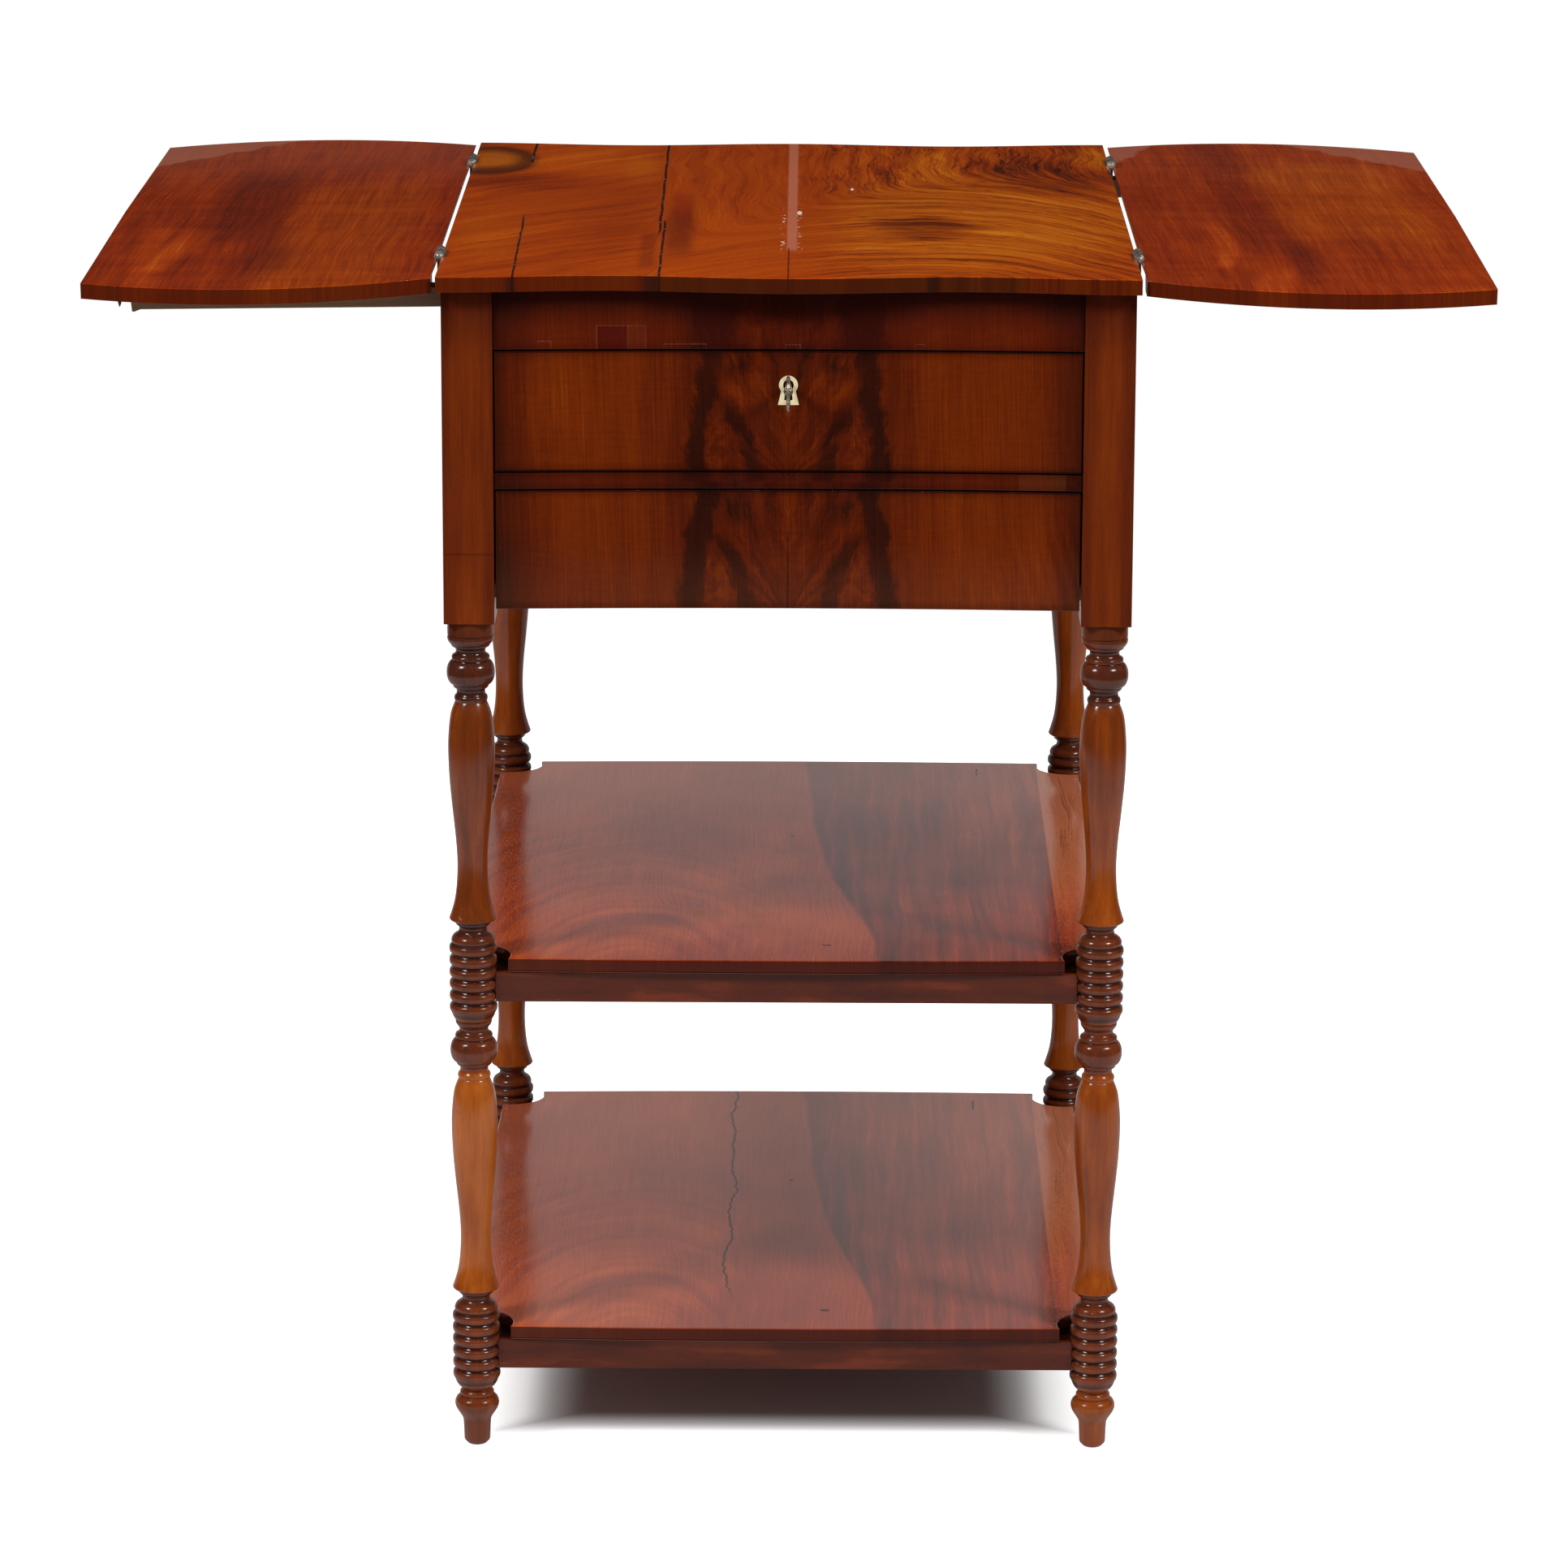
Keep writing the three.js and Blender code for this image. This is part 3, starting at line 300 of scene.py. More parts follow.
class Finish:
    """A material built up coat by coat."""

    def __init__(self, name, **surface):
        self.material = bpy.data.materials.new(name)
        self.material.use_nodes = True
        self.tree = self.material.node_tree
        self.shader = self.tree.nodes["Principled BSDF"]
        for socket, value in surface.items():
            self.shader.inputs[socket.replace("_", " ")].default_value = value
        scale = self.add("Mapping", self.add("TexCoord", output="Object"))
        scale.socket.node.inputs["Scale"].default_value = (1 / MM, 1 / MM, 1 / MM)
        place = self.add("SeparateXYZ", scale).socket.node
        self.x, self.y, self.z = (Value(output) for output in place.outputs)
        self.colour = None

    def add(self, kind, *inputs, output=0, **settings):
        node = self.tree.nodes.new("ShaderNode" + kind)
        for setting, value in settings.items():
            setattr(node, setting, value)
        for slot, item in zip(node.inputs, inputs):
            feed(slot, item)
        return Value(node.outputs[output])

    def noise(self, x, y, z=0.0, detail=2.0, roughness=0.5):
        """Soft noise from 0 to 1, about 0.5, with one swell to each unit of x, y and z."""
        spread = self.add("CombineXYZ", x, y, z)
        noise = self.add("TexNoise", spread).socket.node
        noise.inputs["Scale"].default_value = 1.0
        noise.inputs["Detail"].default_value = detail
        noise.inputs["Roughness"].default_value = roughness
        return Value(noise.outputs[0])

    def sway(self, *place):
        """The same noise, up and down about 0."""
        return self.noise(*place) - 0.5

    def spot(self, x, y, middle, size):
        """Distance from the middle of an oval, 1 on its edge."""
        across = (x - middle[0]) * (1 / size[0])
        along = (y - middle[1]) * (1 / size[1])
        return (across * across + along * along).math("SQRT")

    def patch(self, x, y, middle, size, outer, inner):
        """1 in the middle of an oval and 0 outside it, from one distance to another."""
        return self.spot(x, y, middle, size).rise(outer, inner)

    def mixed(self, under, over, amount):
        """One colour laid over another, more or less of it from place to place."""
        node = self.tree.nodes.new("ShaderNodeMix")
        node.data_type = "RGBA"
        feed(node.inputs[0], amount)
        feed(node.inputs[6], under)
        feed(node.inputs[7], over)
        return Value(node.outputs[2])

    def paint(self, colour, amount=None):
        """Lays a colour over what is there. The first coat covers all."""
        if amount is None:
            self.colour = linear(colour)
        else:
            self.colour = self.mixed(self.colour, linear(colour), amount)

    def shade(self, factor):
        """Makes the colour lighter or darker, place by place."""
        node = self.add("VectorMath", self.colour, operation="SCALE").socket.node
        feed(node.inputs["Scale"], factor)
        self.colour = Value(node.outputs[0])

    def sealed(self, roughness, height=None):
        """The last step: colour, gloss, and height in millimetres go to the shader."""
        feed(self.shader.inputs["Base Color"], self.colour)
        feed(self.shader.inputs["Roughness"], roughness)
        if height is not None:
            bump = self.tree.nodes.new("ShaderNodeBump")
            bump.inputs["Distance"].default_value = MM
            feed(bump.inputs["Height"], height)
            self.tree.links.new(bump.outputs["Normal"], self.shader.inputs["Normal"])
        return self.material


# %% [markdown]
# ## Wood grain
# Close up, mahogany is fine fibres and short dark pores along the grain, and broader lighter and
# darker streaks. All three are noise that is stretched along the grain, so one helper serves every
# wooden finish. It is told which way is across and which is along, and how strong each part is.
#
# Where a board changes from dark to golden, the change is ragged and follows the grain. So the
# larger figure isn't painted as patches: every patch, streak and line adds to one tone, and a
# colour ramp turns that tone into wood, from the darkest line to the palest flame.


# %% Grain
def grained(wood, across, along, seed, streak=0.3, fibre=0.16, pore=0.35):
    """Shades the colour with streaks, fibres and pores, and gives back a height for the bump."""
    bend = wood.sway(across * 0.012, along * 0.004, seed, 2.0) * 9
    across = across + bend
    streaks = wood.noise(across * 0.14, along * 0.006, seed + 3, 3.0, 0.6)
    fibres = wood.noise(across * 1.3, along * 0.03, seed + 7, 3.0, 0.65)
    pores = wood.noise(across * 3.2, along * 0.16, seed + 11, 2.0, 0.6).rise(0.6, 0.72)
    wood.shade((streaks - 0.5) * (2 * streak) + (fibres - 0.5) * (2 * fibre) + 1.0)
    wood.shade(pores * -pore + 1.0)
    return fibres * 0.03 - pores * 0.05


def tones(wood, tone, *colours):
    """The colour that a tone from 0 to 1 has on a ramp of evenly spaced colours."""
    node = wood.add("ValToRGB", tone).socket.node
    stops = node.color_ramp.elements
    while len(stops) < len(colours):
        stops.new(0.5)
    for i, colour in enumerate(colours):
        stops[i].position = i / (len(colours) - 1)
        stops[i].color = linear(colour)
    return Value(node.outputs[0])


FINISHES = {}


def keep(name, material):
    """Puts a finish on the shelf under a name."""
    FINISHES[name] = material
    print(name, "finish:", len(material.node_tree.nodes), "nodes")


# %% [markdown]
# ## The fixed top: three boards of flame mahogany
# The middle joint runs down x = 0 and shows as a pale rubbed stripe. Right of it the grain flows
# down from the back edge and swings out to the right, round a dark eye: the wood comes from under a
# fork in the tree. A field that is the greater of two slopes gives lines that turn the corner, and
# noise read across that field draws them. Left of the crack the grain is plain, with a knot in the
# back corner.

# %% Finish of the fixed top
RED_TONES = ((74, 23, 6), (124, 40, 5), (172, 62, 2), (200, 83, 3), (222, 112, 12))
GOLD_TONES = ((80, 32, 6), (130, 53, 4), (176, 80, 2), (204, 106, 7), (228, 144, 32))
TOP_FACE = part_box("top_panel")[1].z / MM


def flame_top():
    wood = Finish("flame_mahogany", IOR=1.4)
    x, y, z = wood.x, wood.y, wood.z
    drift = wood.sway(x * 0.012, y * 0.01, 2.0, 3.0)
    ripple = wood.sway(x * 0.04, y * 0.03, 9.0, 2.0)

    # how the grain flows: down and out to the right on the right half, leaning on the left board
    from_eye = x - 88
    past_eye = from_eye.most(0.0)
    level = (y + from_eye * from_eye * (1 / 300) + past_eye * past_eye * (1 / 260)) * -1.0
    turning_grain = (x * -1.0).math("SMOOTH_MAX", level, 60)
    leaning_grain = x * 0.66 - y * 0.75
    on_left = x.rise(-80, -86)
    flow = turning_grain + (leaning_grain - turning_grain) * on_left + drift * 26 + ripple * 5
    broad = wood.sway(flow * 0.05, x * 0.004, y * 0.004 + 3.0, 2.0, 0.5)
    lines = wood.sway(flow * 0.11, x * 0.006, y * 0.006 + 5.0, 5.0, 0.64)
    fine = wood.sway(flow * 0.7, x * 0.014, y * 0.014 + 7.0, 3.0, 0.6)
    drawn_line = abs(wood.sway(flow * 0.08, x * 0.008, y * 0.008 + 11.0, 3.0, 0.6)).rise(0.03, 0.0)

    # where it is golden and where it is dark
    to_right = x.rise(-4, 50)
    gold = wood.patch(x + drift * 60, y, (118, -60), (112, 200), 1.25, 0.5) * to_right
    gold += wood.patch(x, y, (204, 204), (20, 46), 1.3, 0.4)
    gold += wood.patch(x + ripple * 20, y, (94, 170), (22, 80), 1.3, 0.4) * 0.7
    gold += wood.patch(x + y * 0.3, y, (198, 195), (9, 42), 1.3, 0.4) * 0.7
    gold += wood.patch(x, y, (-190, -120), (24, 110), 1.3, 0.2) * 0.4
    gold += wood.patch(x, y, (-98, 170), (13, 62), 1.3, 0.3) * 0.5
    back_shade = wood.patch(x + y * 0.25 + ripple * 30, y, (194, 130), (50, 84), 1.3, 0.4)
    back_shade += wood.patch(x + ripple * 24, y, (66, 130), (9, 60), 1.4, 0.3) * 0.5
    eye = wood.patch(x + y * 0.14 + ripple * 26, y + drift * 40, (73, -75), (34, 52), 1.35, 0.4)
    left_shade = wood.patch(x - y * 0.4, y, (-212, 95), (58, 44), 1.3, 0.2)
    brown = wood.patch(x, y, (-106, -70), (34, 130), 1.35, 0.1)
    red = wood.patch(x + ripple * 30, y, (-142, 190), (52, 84), 1.3, 0.3) * on_left
    tone = 0.55 + x.band(-20, 60, 40) * y.rise(60, -160) * 0.08 + broad * 0.4
    tone += lines * (0.45 + to_right * 0.95) + fine * (0.45 + to_right * 0.3)
    tone -= drawn_line * (0.07 + to_right * 0.2)
    tone += gold * 0.14 - back_shade * 0.32 - eye * 0.34 - left_shade * 0.24 - brown * 0.12
    tone += red * 0.18
    wood.colour = tones(wood, tone, *RED_TONES)
    golden = tones(wood, tone, *GOLD_TONES)
    wood.colour = wood.mixed(wood.colour, golden, gold * 0.62 + to_right * 0.1)

    # the knot in the back left corner
    knot = wood.spot(x + ripple * 8, y, (-203, 187), (30, 56))
    knot_rings = wood.noise(knot * 9, x * 0.02, y * 0.012, 3.0, 0.6)
    wood.paint((72, 34, 12), knot.rise(1.25, 0.95) * 0.85)
    wood.paint((196, 98, 14), knot.rise(0.98, 0.35) * (y - x * 0.3).rise(196, 236) * 0.95)
    wood.paint((58, 30, 12), knot.rise(1.1, 0.8) * knot_rings.rise(0.54, 0.68) * 0.48)

    # a dark red band beside the front crack, and a paler red one behind the back crack
    wood.paint((92, 20, 9), x.band(-69, 4, 9) * y.rise(50, -50) * y.rise(-215, -130) * 0.6)
    wood.paint((108, 26, 9), x.band(-87, 2, 5) * y.band(-165, 45, 35) * 0.45)
    wood.paint((150, 36, 10), x.band(-69, 3, 6) * y.band(10, 30, 20) * 0.4)
    height = grained(wood, x, y, 40.0, 0.05, 0.1, 0.3)

    # the rubbed joint, with white chips of old filler along it
    edge = wood.sway(x * 0.02, y * 0.25, 50.0, 3.0) * 5
    stripe = (x - 1.5 + edge * 0.5).band(0.0, 2.4, 1.4) * y.rise(-174, -156)
    wood.paint((192, 114, 88), stripe * 0.72)
    chips = wood.noise(x * 0.4, y * 0.16, 52.0, 2.0).rise(0.6, 0.64)
    wood.paint((246, 222, 204), chips * abs(x - 1.0).band(5.2, 1.4, 0.6) * y.band(-92, 78, 8))
    wood.paint((250, 236, 224), wood.patch(x, y, (6, -24), (1.7, 8), 1.1, 0.7))
    wood.paint((250, 236, 224), wood.patch(x, y, (40, 71), (1.2, 5), 1.1, 0.7))
    wood.paint((70, 26, 12), (x + 0.4).band(0.0, 0.3, 0.4) * y.rise(-150, -165) * 0.8)

    # cracks: dark, and dusty in places
    wander = wood.sway(y * 0.03, 1.0, 60.0, 3.0) * 2
    back_crack = (x + 82 + y * 0.006 + wander).band(0.0, 0.45, 0.5) * y.rise(-125, -85)
    front_crack = (x + 79 + y * 0.004 + wander).band(0.0, 0.4, 0.5) * y.rise(-45, -65)
    corner_crack = (x + 173.5 + wander).band(0.0, 0.5, 0.5) * y.rise(176, 182)
    left_crack = (x + 169 + y * 0.012 + wander).band(0.0, 0.3, 0.5) * y.rise(-20, -60)
    cracks = back_crack.most(front_crack, corner_crack, left_crack)
    wood.paint((34, 22, 22), cracks * 0.95)
    dust = wood.noise(x * 0.1, y * 0.12, 64.0, 2.0).rise(0.56, 0.66)
    wood.paint((122, 100, 94), cracks * dust * 0.75)

    # the edges below the face are painted darker
    below = z.rise(TOP_FACE - 0.1, TOP_FACE - 0.6)
    wood.paint((60, 18, 7), below * 0.88)
    in_front = below * y.rise(0, -100)
    wood.paint((34, 20, 10), in_front * x.band(28, 108, 10) * 0.45)
    wood.paint((30, 18, 12), in_front * (x + ripple * 12).band(86, 1.5, 4) * 0.6)
    wood.paint((30, 18, 14), in_front * (x + ripple * 8).band(-168, 1, 4) * 0.55)
    wood.paint((30, 18, 14), in_front * (x + ripple * 8).band(-84, 2, 5) * 0.6)
    dull = wood.noise(x * 0.03, y * 0.03, 70.0, 3.0)
    return wood.sealed(dull * 0.1 + stripe * 0.2 + 0.08, height - cracks * 0.6 - stripe * 0.05)


keep("top", flame_top())

# %% [markdown]
# ## The leaves
# Each leaf is one straight-grained board, so its streaks run front to back. The left one has a
# broad purple-brown streak and the right one warmer patches. A pale painted reflection lies at
# the outer back corners, as if the polish mirrored a light there.

# %% Finish of the leaves
LEAF_TONES = ((64, 18, 8), (108, 32, 10), (145, 46, 10), (176, 63, 10), (204, 92, 20))
HINGE_LINE = 213.5  # from the middle of the table
LEAF_DROOP = 0.0157  # how far an open leaf falls to each millimetre outwards


def leaf_finish(side):
    """side is -1 for the left leaf and 1 for the right one."""
    wood = Finish("leaf_mahogany_" + ("left" if side < 0 else "right"), IOR=1.4)
    out, y, z = wood.x * side, wood.y, wood.z
    drift = wood.sway(out * 0.008, y * 0.005, 4.0 + side, 2.0)
    lean = out + y * 0.03 + drift * 16
    broad = wood.sway(lean * 0.05, y * 0.0035, 8.0 + side, 2.0, 0.5)
    streaks = wood.sway(lean * 0.16, y * 0.006, 11.0 + side, 5.0, 0.64)
    fine = wood.sway(lean * 0.6, y * 0.012, 13.0 + side, 3.0, 0.62)
    cloud = wood.sway(out * 0.02, y * 0.012, 15.0 + side, 3.0)
    cross = wood.sway(y * 0.05 + drift, out * 0.009, 17.0 + side, 3.0, 0.6)
    tone = 0.51 + broad * 0.2 + streaks * 0.5 + fine * 0.65 + cloud * 0.3 + cross * 0.35
    # towards the back the leaves are painted lighter and paler, a painted sheen of the polish
    tone += y.rise(20, 250) * 0.1
    pale = y.rise(40, 250) * 0.08
    if side < 0:
        dark = lean.band(346, 12, 22) * y.rise(-150, -60) * y.rise(220, 110)
        dark += wood.patch(out, y, (322, -170), (18, 90), 1.5, 0.2)
        gold = lean.band(276, 26, 30) * y.rise(150, 40)
        bright = (lean - y * 0.06).band(398, 4, 10) * y.rise(-20, -90) * 0.8
        bright += (lean + y * 0.1).band(358, 4, 9) * y.band(-155, 50, 40)
    else:
        tone += 0.05 + out.rise(330, 410) * 0.09
        pale = pale * 0.3
        dark = lean.band(292, 8, 16) * y.rise(-190, -100) * 0.6
        dark += wood.patch(out, y, (316, -175), (12, 80), 1.4, 0.2)
        gold = lean.rise(300, 316) * lean.rise(418, 392) * y.rise(235, 180) * y.rise(-200, -20)
        bright = (lean + (y + 120) * (y + 120) * 0.0012).band(267, 3, 6) * y.band(-130, 66, 30)
        bright += (lean - y * 0.18).band(330, 5, 12) * y.rise(-180, -240)
    tone = tone - dark * 0.15 + gold * 0.07 + bright * 0.2
    wood.colour = tones(wood, tone, *LEAF_TONES)
    wood.colour = wood.mixed(wood.colour, tones(wood, tone, *GOLD_TONES), gold * 0.22)
    wood.paint((84, 28, 20), dark * 0.25)
    # the pale coat is painted sheen, growing towards the back
    wood.paint((206, 156, 136), pale)
    height = grained(wood, lean, y, 90.0 + 5 * side, 0.06, 0.14, 0.32)
    # a pale painted reflection at the outer back corners, not a mark in the polish
    painted_reflection_edge = wood.sway(out * 0.08, y * 0.05, 77.0, 3.0) * 30
    painted_reflection = ((out - 424) * 1.25 + y + painted_reflection_edge).rise(178, 186)
    if side > 0:
        painted_reflection = painted_reflection.most((y * 0.4 - (out - 214) * 1.2 + painted_reflection_edge * 0.5).rise(68, 74))
    wood.paint((186, 116, 94), painted_reflection * 0.6)
    dust = wood.noise(out * 0.6, y * 0.14, 79.0, 1.0).rise(0.74, 0.78)
    wood.paint((200, 130, 96), dust * 0.5)
    below = (z + (out - HINGE_LINE) * LEAF_DROOP).rise(TOP_FACE - 1.3, TOP_FACE - 1.8)
    wood.paint((62, 20, 8), below * 0.84)
    scuffs = wood.noise(out * 0.03, y * 0.03, 70.0, 3.0)
    return wood.sealed(scuffs * 0.1 + 0.08, height)


keep("leaf_left", leaf_finish(-1))
keep("leaf_right", leaf_finish(1))

# %% [markdown]
# ## Crotch veneer on the drawer fronts
# The fronts are faced with two leaves of veneer cut one after the other and opened like a book, so
# the figure on the left is the mirror of the right: dark ragged bands, pale plumes between them,
# and a fan of lines from the middle. Working in |x| mirrors it, and a little noise in plain x keeps
# the halves from being exact twins. The same veneer runs from the frieze down to the lower drawer.

# %% Finish of the fronts
FRONT_TONES = ((24, 11, 7), (50, 17, 6), (81, 25, 5), (110, 40, 5), (148, 70, 12))
FRONTS_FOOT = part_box("lower_drawer_front")[0].z / MM
FRONT_EDGES = (702.5, 628.5, 616.5)  # under the frieze, and above and under the rail
FRONT_HALF = 181.5
FRIEZE_PATCHES = (  # middle and half width along x, and the height of the lower rim
    (-148, 4.5, 708.5),
    (-62.5, 13, 706.6),
    (3, 4.5, 706.4),
    (79, 2.5, 707),
)


def crotch_veneer():
    wood = Finish("crotch_veneer", IOR=1.4, Specular_IOR_Level=0.35)
    x, z = wood.x, wood.z
    side = abs(x)
    wide = wood.sway(x * 0.03, z * 0.02, 5.0, 2.0)
    ragged = wood.sway(side * 0.11 + x * 0.012, z * 0.06, 3.0, 5.0, 0.62)
    u = side + ragged * 15 + wide * 5
    strokes = wood.sway(u * 0.34 - z * 0.12, z * 0.05, 11.0, 4.0, 0.62)
    straight = wood.sway(x * 0.09 + wide, z * 0.006, 13.0, 4.0, 0.6)
    fine = wood.sway((x + z * 0.03) * 0.8, z * 0.014, 17.0, 3.0, 0.62)
    weave = wood.sway(x * 0.06, z * 0.45, 19.0, 3.0, 0.6)

    # straight grain outside the figure, with painted light halfway out and painted shade towards
    # the sides, slanting at the lower right
    tone = 0.5 + straight * 0.34 + fine * 0.4 + weave * 0.16 + side.band(118, 16, 50) * 0.16
    tone = tone - side.rise(150, 181) * 0.18 - x.rise(-60, -150) * z.rise(600, 560) * 0.1
    tone += wood.patch(x, z, (-140, 672), (40, 26), 1.3, 0.3) * 0.07
    slanted = wood.sway((x + z * 0.28) * 0.2, z * 0.004, 12.0, 4.0, 0.6)
    tone += (slanted * 0.5 + 0.06) * x.rise(84, 140) * z.rise(620, 560)

    # how far up its own drawer front a place is
    on_upper = z.rise(621, 623)
    rise = z - FRONTS_FOOT - on_upper * 85.5

    # the figure: a fan of lines from the foot of each front
    figure = u.rise(72, 50)
    turn = (side + 5).math("ARCTAN2", rise + 12) + ragged * 0.25
    fan = wood.sway(turn * 9, rise * 0.012, 15.0, 4.0, 0.62)
    near = side.rise(50, 20)
    tone += figure * (fan * 0.8 + 0.02) * near + figure * strokes * 0.55 - figure * 0.04

    # dark bands down each front, and the inner ones that part from them half way
    outer = rise * (on_upper * 0.035 - 0.16) + 61 - on_upper * 4.75
    inner = rise * (0.27 - on_upper * 0.07) + 23 - on_upper * 1.3 + (rise - 22).most(0.0) * 0.3
    frayed = u + strokes * 15
    dark = (frayed - outer).band(0.0, 3.0, 6.5)
    dark += (frayed - inner).band(0.0, 2.5, 6) * rise.rise(52, 38) * 0.85
    dark = dark * z.rise(704, 702) + (frayed - 44).band(0.0, 8, 9) * z.rise(700, 706)
    feathered = (strokes * 2.0 + 0.85).most(0.25)
    tone -= (dark * feathered).least(1.0) * 0.37

    # plumes between the bands, eyes, and the dark middle of the upper drawer
    lobes = wood.noise((u + z * 0.5) * 0.15, z * 0.09, 25.0, 3.0, 0.6).rise(0.36, 0.56)
    plume = wood.patch(u, rise, (43.5, 17), (8, 22), 1.25, 0.6)
    plume += wood.patch(u, z, (31, 716), (6, 12), 1.3, 0.6) * 0.5
    tone += plume * lobes * 0.16
    eye = wood.spot(side + ragged * 10, z + strokes * 8, (26, 678), (14, 14))
    tone += eye.rise(1.2, 0.6) * 0.17
    pupil = wood.patch(side + ragged * 12, z + strokes * 9, (30, 689), (7, 8), 1.5, 0.3)
    pupil += wood.patch(side + ragged * 16, z + strokes * 10, (31, 604), (8, 8), 1.6, 0.3)
    tone = tone - pupil * 0.17 - side.rise(16, 4) * z.rise(668, 690) * z.rise(706, 702) * 0.12

    # the frieze and the rail are darker all over, and the top's shadow is painted on the upper part
    # of the frieze
    on_frieze = z.rise(702.6, 703.4)
    on_rail = z.band(622.5, 5.2, 0.3)
    tone = tone - on_frieze * 0.1 - z.rise(714, 736) * 0.36 - on_rail * 0.2
    wood.colour = tones(wood, tone, *FRONT_TONES)
    wood.paint((84, 18, 9), on_frieze * 0.22 + on_rail * 0.2 + figure * 0.08)

    # the frieze is patched where the veneer was chipped
    patch = x.band(-106, 8.6, 0.5) * z.band(710.5, 7, 0.5)
    pale = x.band(-91.5, 5, 0.5) * z.band(710.5, 7, 0.5)
    wood.paint((70, 14, 10), patch * 0.75)
    wood.paint((90, 32, 14), pale * 0.5)

    # and thin pale lines run round the patches
    outline = (x.band(-101, 15, 0.3) - x.band(-101, 14.6, 0.3)) + x.band(-97, 0.1, 0.3)
    outline = outline * z.band(710.5, 7.4, 0.3) + x.band(-101, 14.6, 0.3) * z.band(717.8, 0.1, 0.25)
    wood.paint((118, 78, 62), outline * fine.rise(-0.15, 0.05) * 0.42)
    lean = x + wide * 6
    for middle, half, rim in FRIEZE_PATCHES:
        here = z.rise(rim + 0.2, rim) * on_frieze
        frame_lines = lean.band(middle, half + 0.15, 0.2) - lean.band(middle, half - 0.15, 0.2)
        frame_lines = frame_lines * here + lean.band(middle, half, 0.2) * z.band(rim, 0.1, 0.25)
        wood.paint((120, 84, 68), frame_lines * fine.rise(-0.12, 0.05) * 0.5)
    wood.paint((104, 50, 20), x.band(154, 14, 0.6) * on_rail * 0.3)

    # the lower drawer is a little bleached along its foot
    wood.paint((132, 78, 56), z.rise(590, 548) * 0.1)

    # the joint of the two leaves of veneer shows on the lower drawer
    wood.paint((44, 18, 10), x.band(0.0, 0.25, 0.4) * z.rise(600, 575) * 0.8)

    height = grained(wood, x + z * 0.02, z, 120.0, 0.06, 0.16, 0.32)
    # painted shade darkens each front along its borders, where it meets the parts round it
    painted_border_shade = side.rise(172, FRONT_HALF)
    painted_border_shade = painted_border_shade.most(*[z.band(edge, 0.5, 6) * 0.55 for edge in (*FRONT_EDGES, FRONTS_FOOT)])
    wood.shade(painted_border_shade * -0.55 + 1.0)
    # and thin black lines of painted shade widen the gaps along the drawers' edges
    painted_gap_shade = side.rise(FRONT_HALF - 0.8, FRONT_HALF) * z.rise(703, 702)
    painted_gap_shade = painted_gap_shade.most(*[z.band(edge, 0.9, 0.4) for edge in FRONT_EDGES])
    wood.paint((22, 9, 6), painted_gap_shade * 0.75)
    dull = wood.noise(x * 0.03, z * 0.03, 70.0, 3.0)
    return wood.sealed(dull * 0.12 + 0.14, height)


keep("front", crotch_veneer())

# %% [markdown]
# ## Legs: square posts and turnings
# The posts are the same mahogany with upright grain, darker at their corners. The turned part is
# amber where the polish is thick, and its grooves are painted darker. How far a point lies from
# the leg's axis tells a groove from a crest, so that distance darkens the grooves.

# %% Finish of the legs
POST_HALF = 15.5
LEG_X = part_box("leg_front_right")[1].x / MM - POST_HALF
LEG_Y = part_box("leg_back_left")[1].y / MM - POST_HALF
LEG_PLACES = [
    (end, side, x, y)
    for end, y in (("front", -LEG_Y), ("back", LEG_Y))
    for side, x in (("left", -LEG_X), ("right", LEG_X))
]
POST_BOTTOM = FRONTS_FOOT - 9.5
SHELF_TOPS = [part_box(name)[1].z / MM for name in ("upper_shelf", "lower_shelf")]
SHELF_THICKNESS = SHELF_TOPS[0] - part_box("upper_shelf")[0].z / MM
RING_COUNT = 6
RING_PITCH = 7.6
STACK_ABOVE_SHELF = 8.0  # the rings end this far above the shelf's face
LEG_TONES = ((40, 18, 12), (78, 34, 13), (112, 48, 13), (142, 66, 15), (170, 90, 28))
print("leg axes at", LEG_X, LEG_Y, "posts from", POST_BOTTOM)


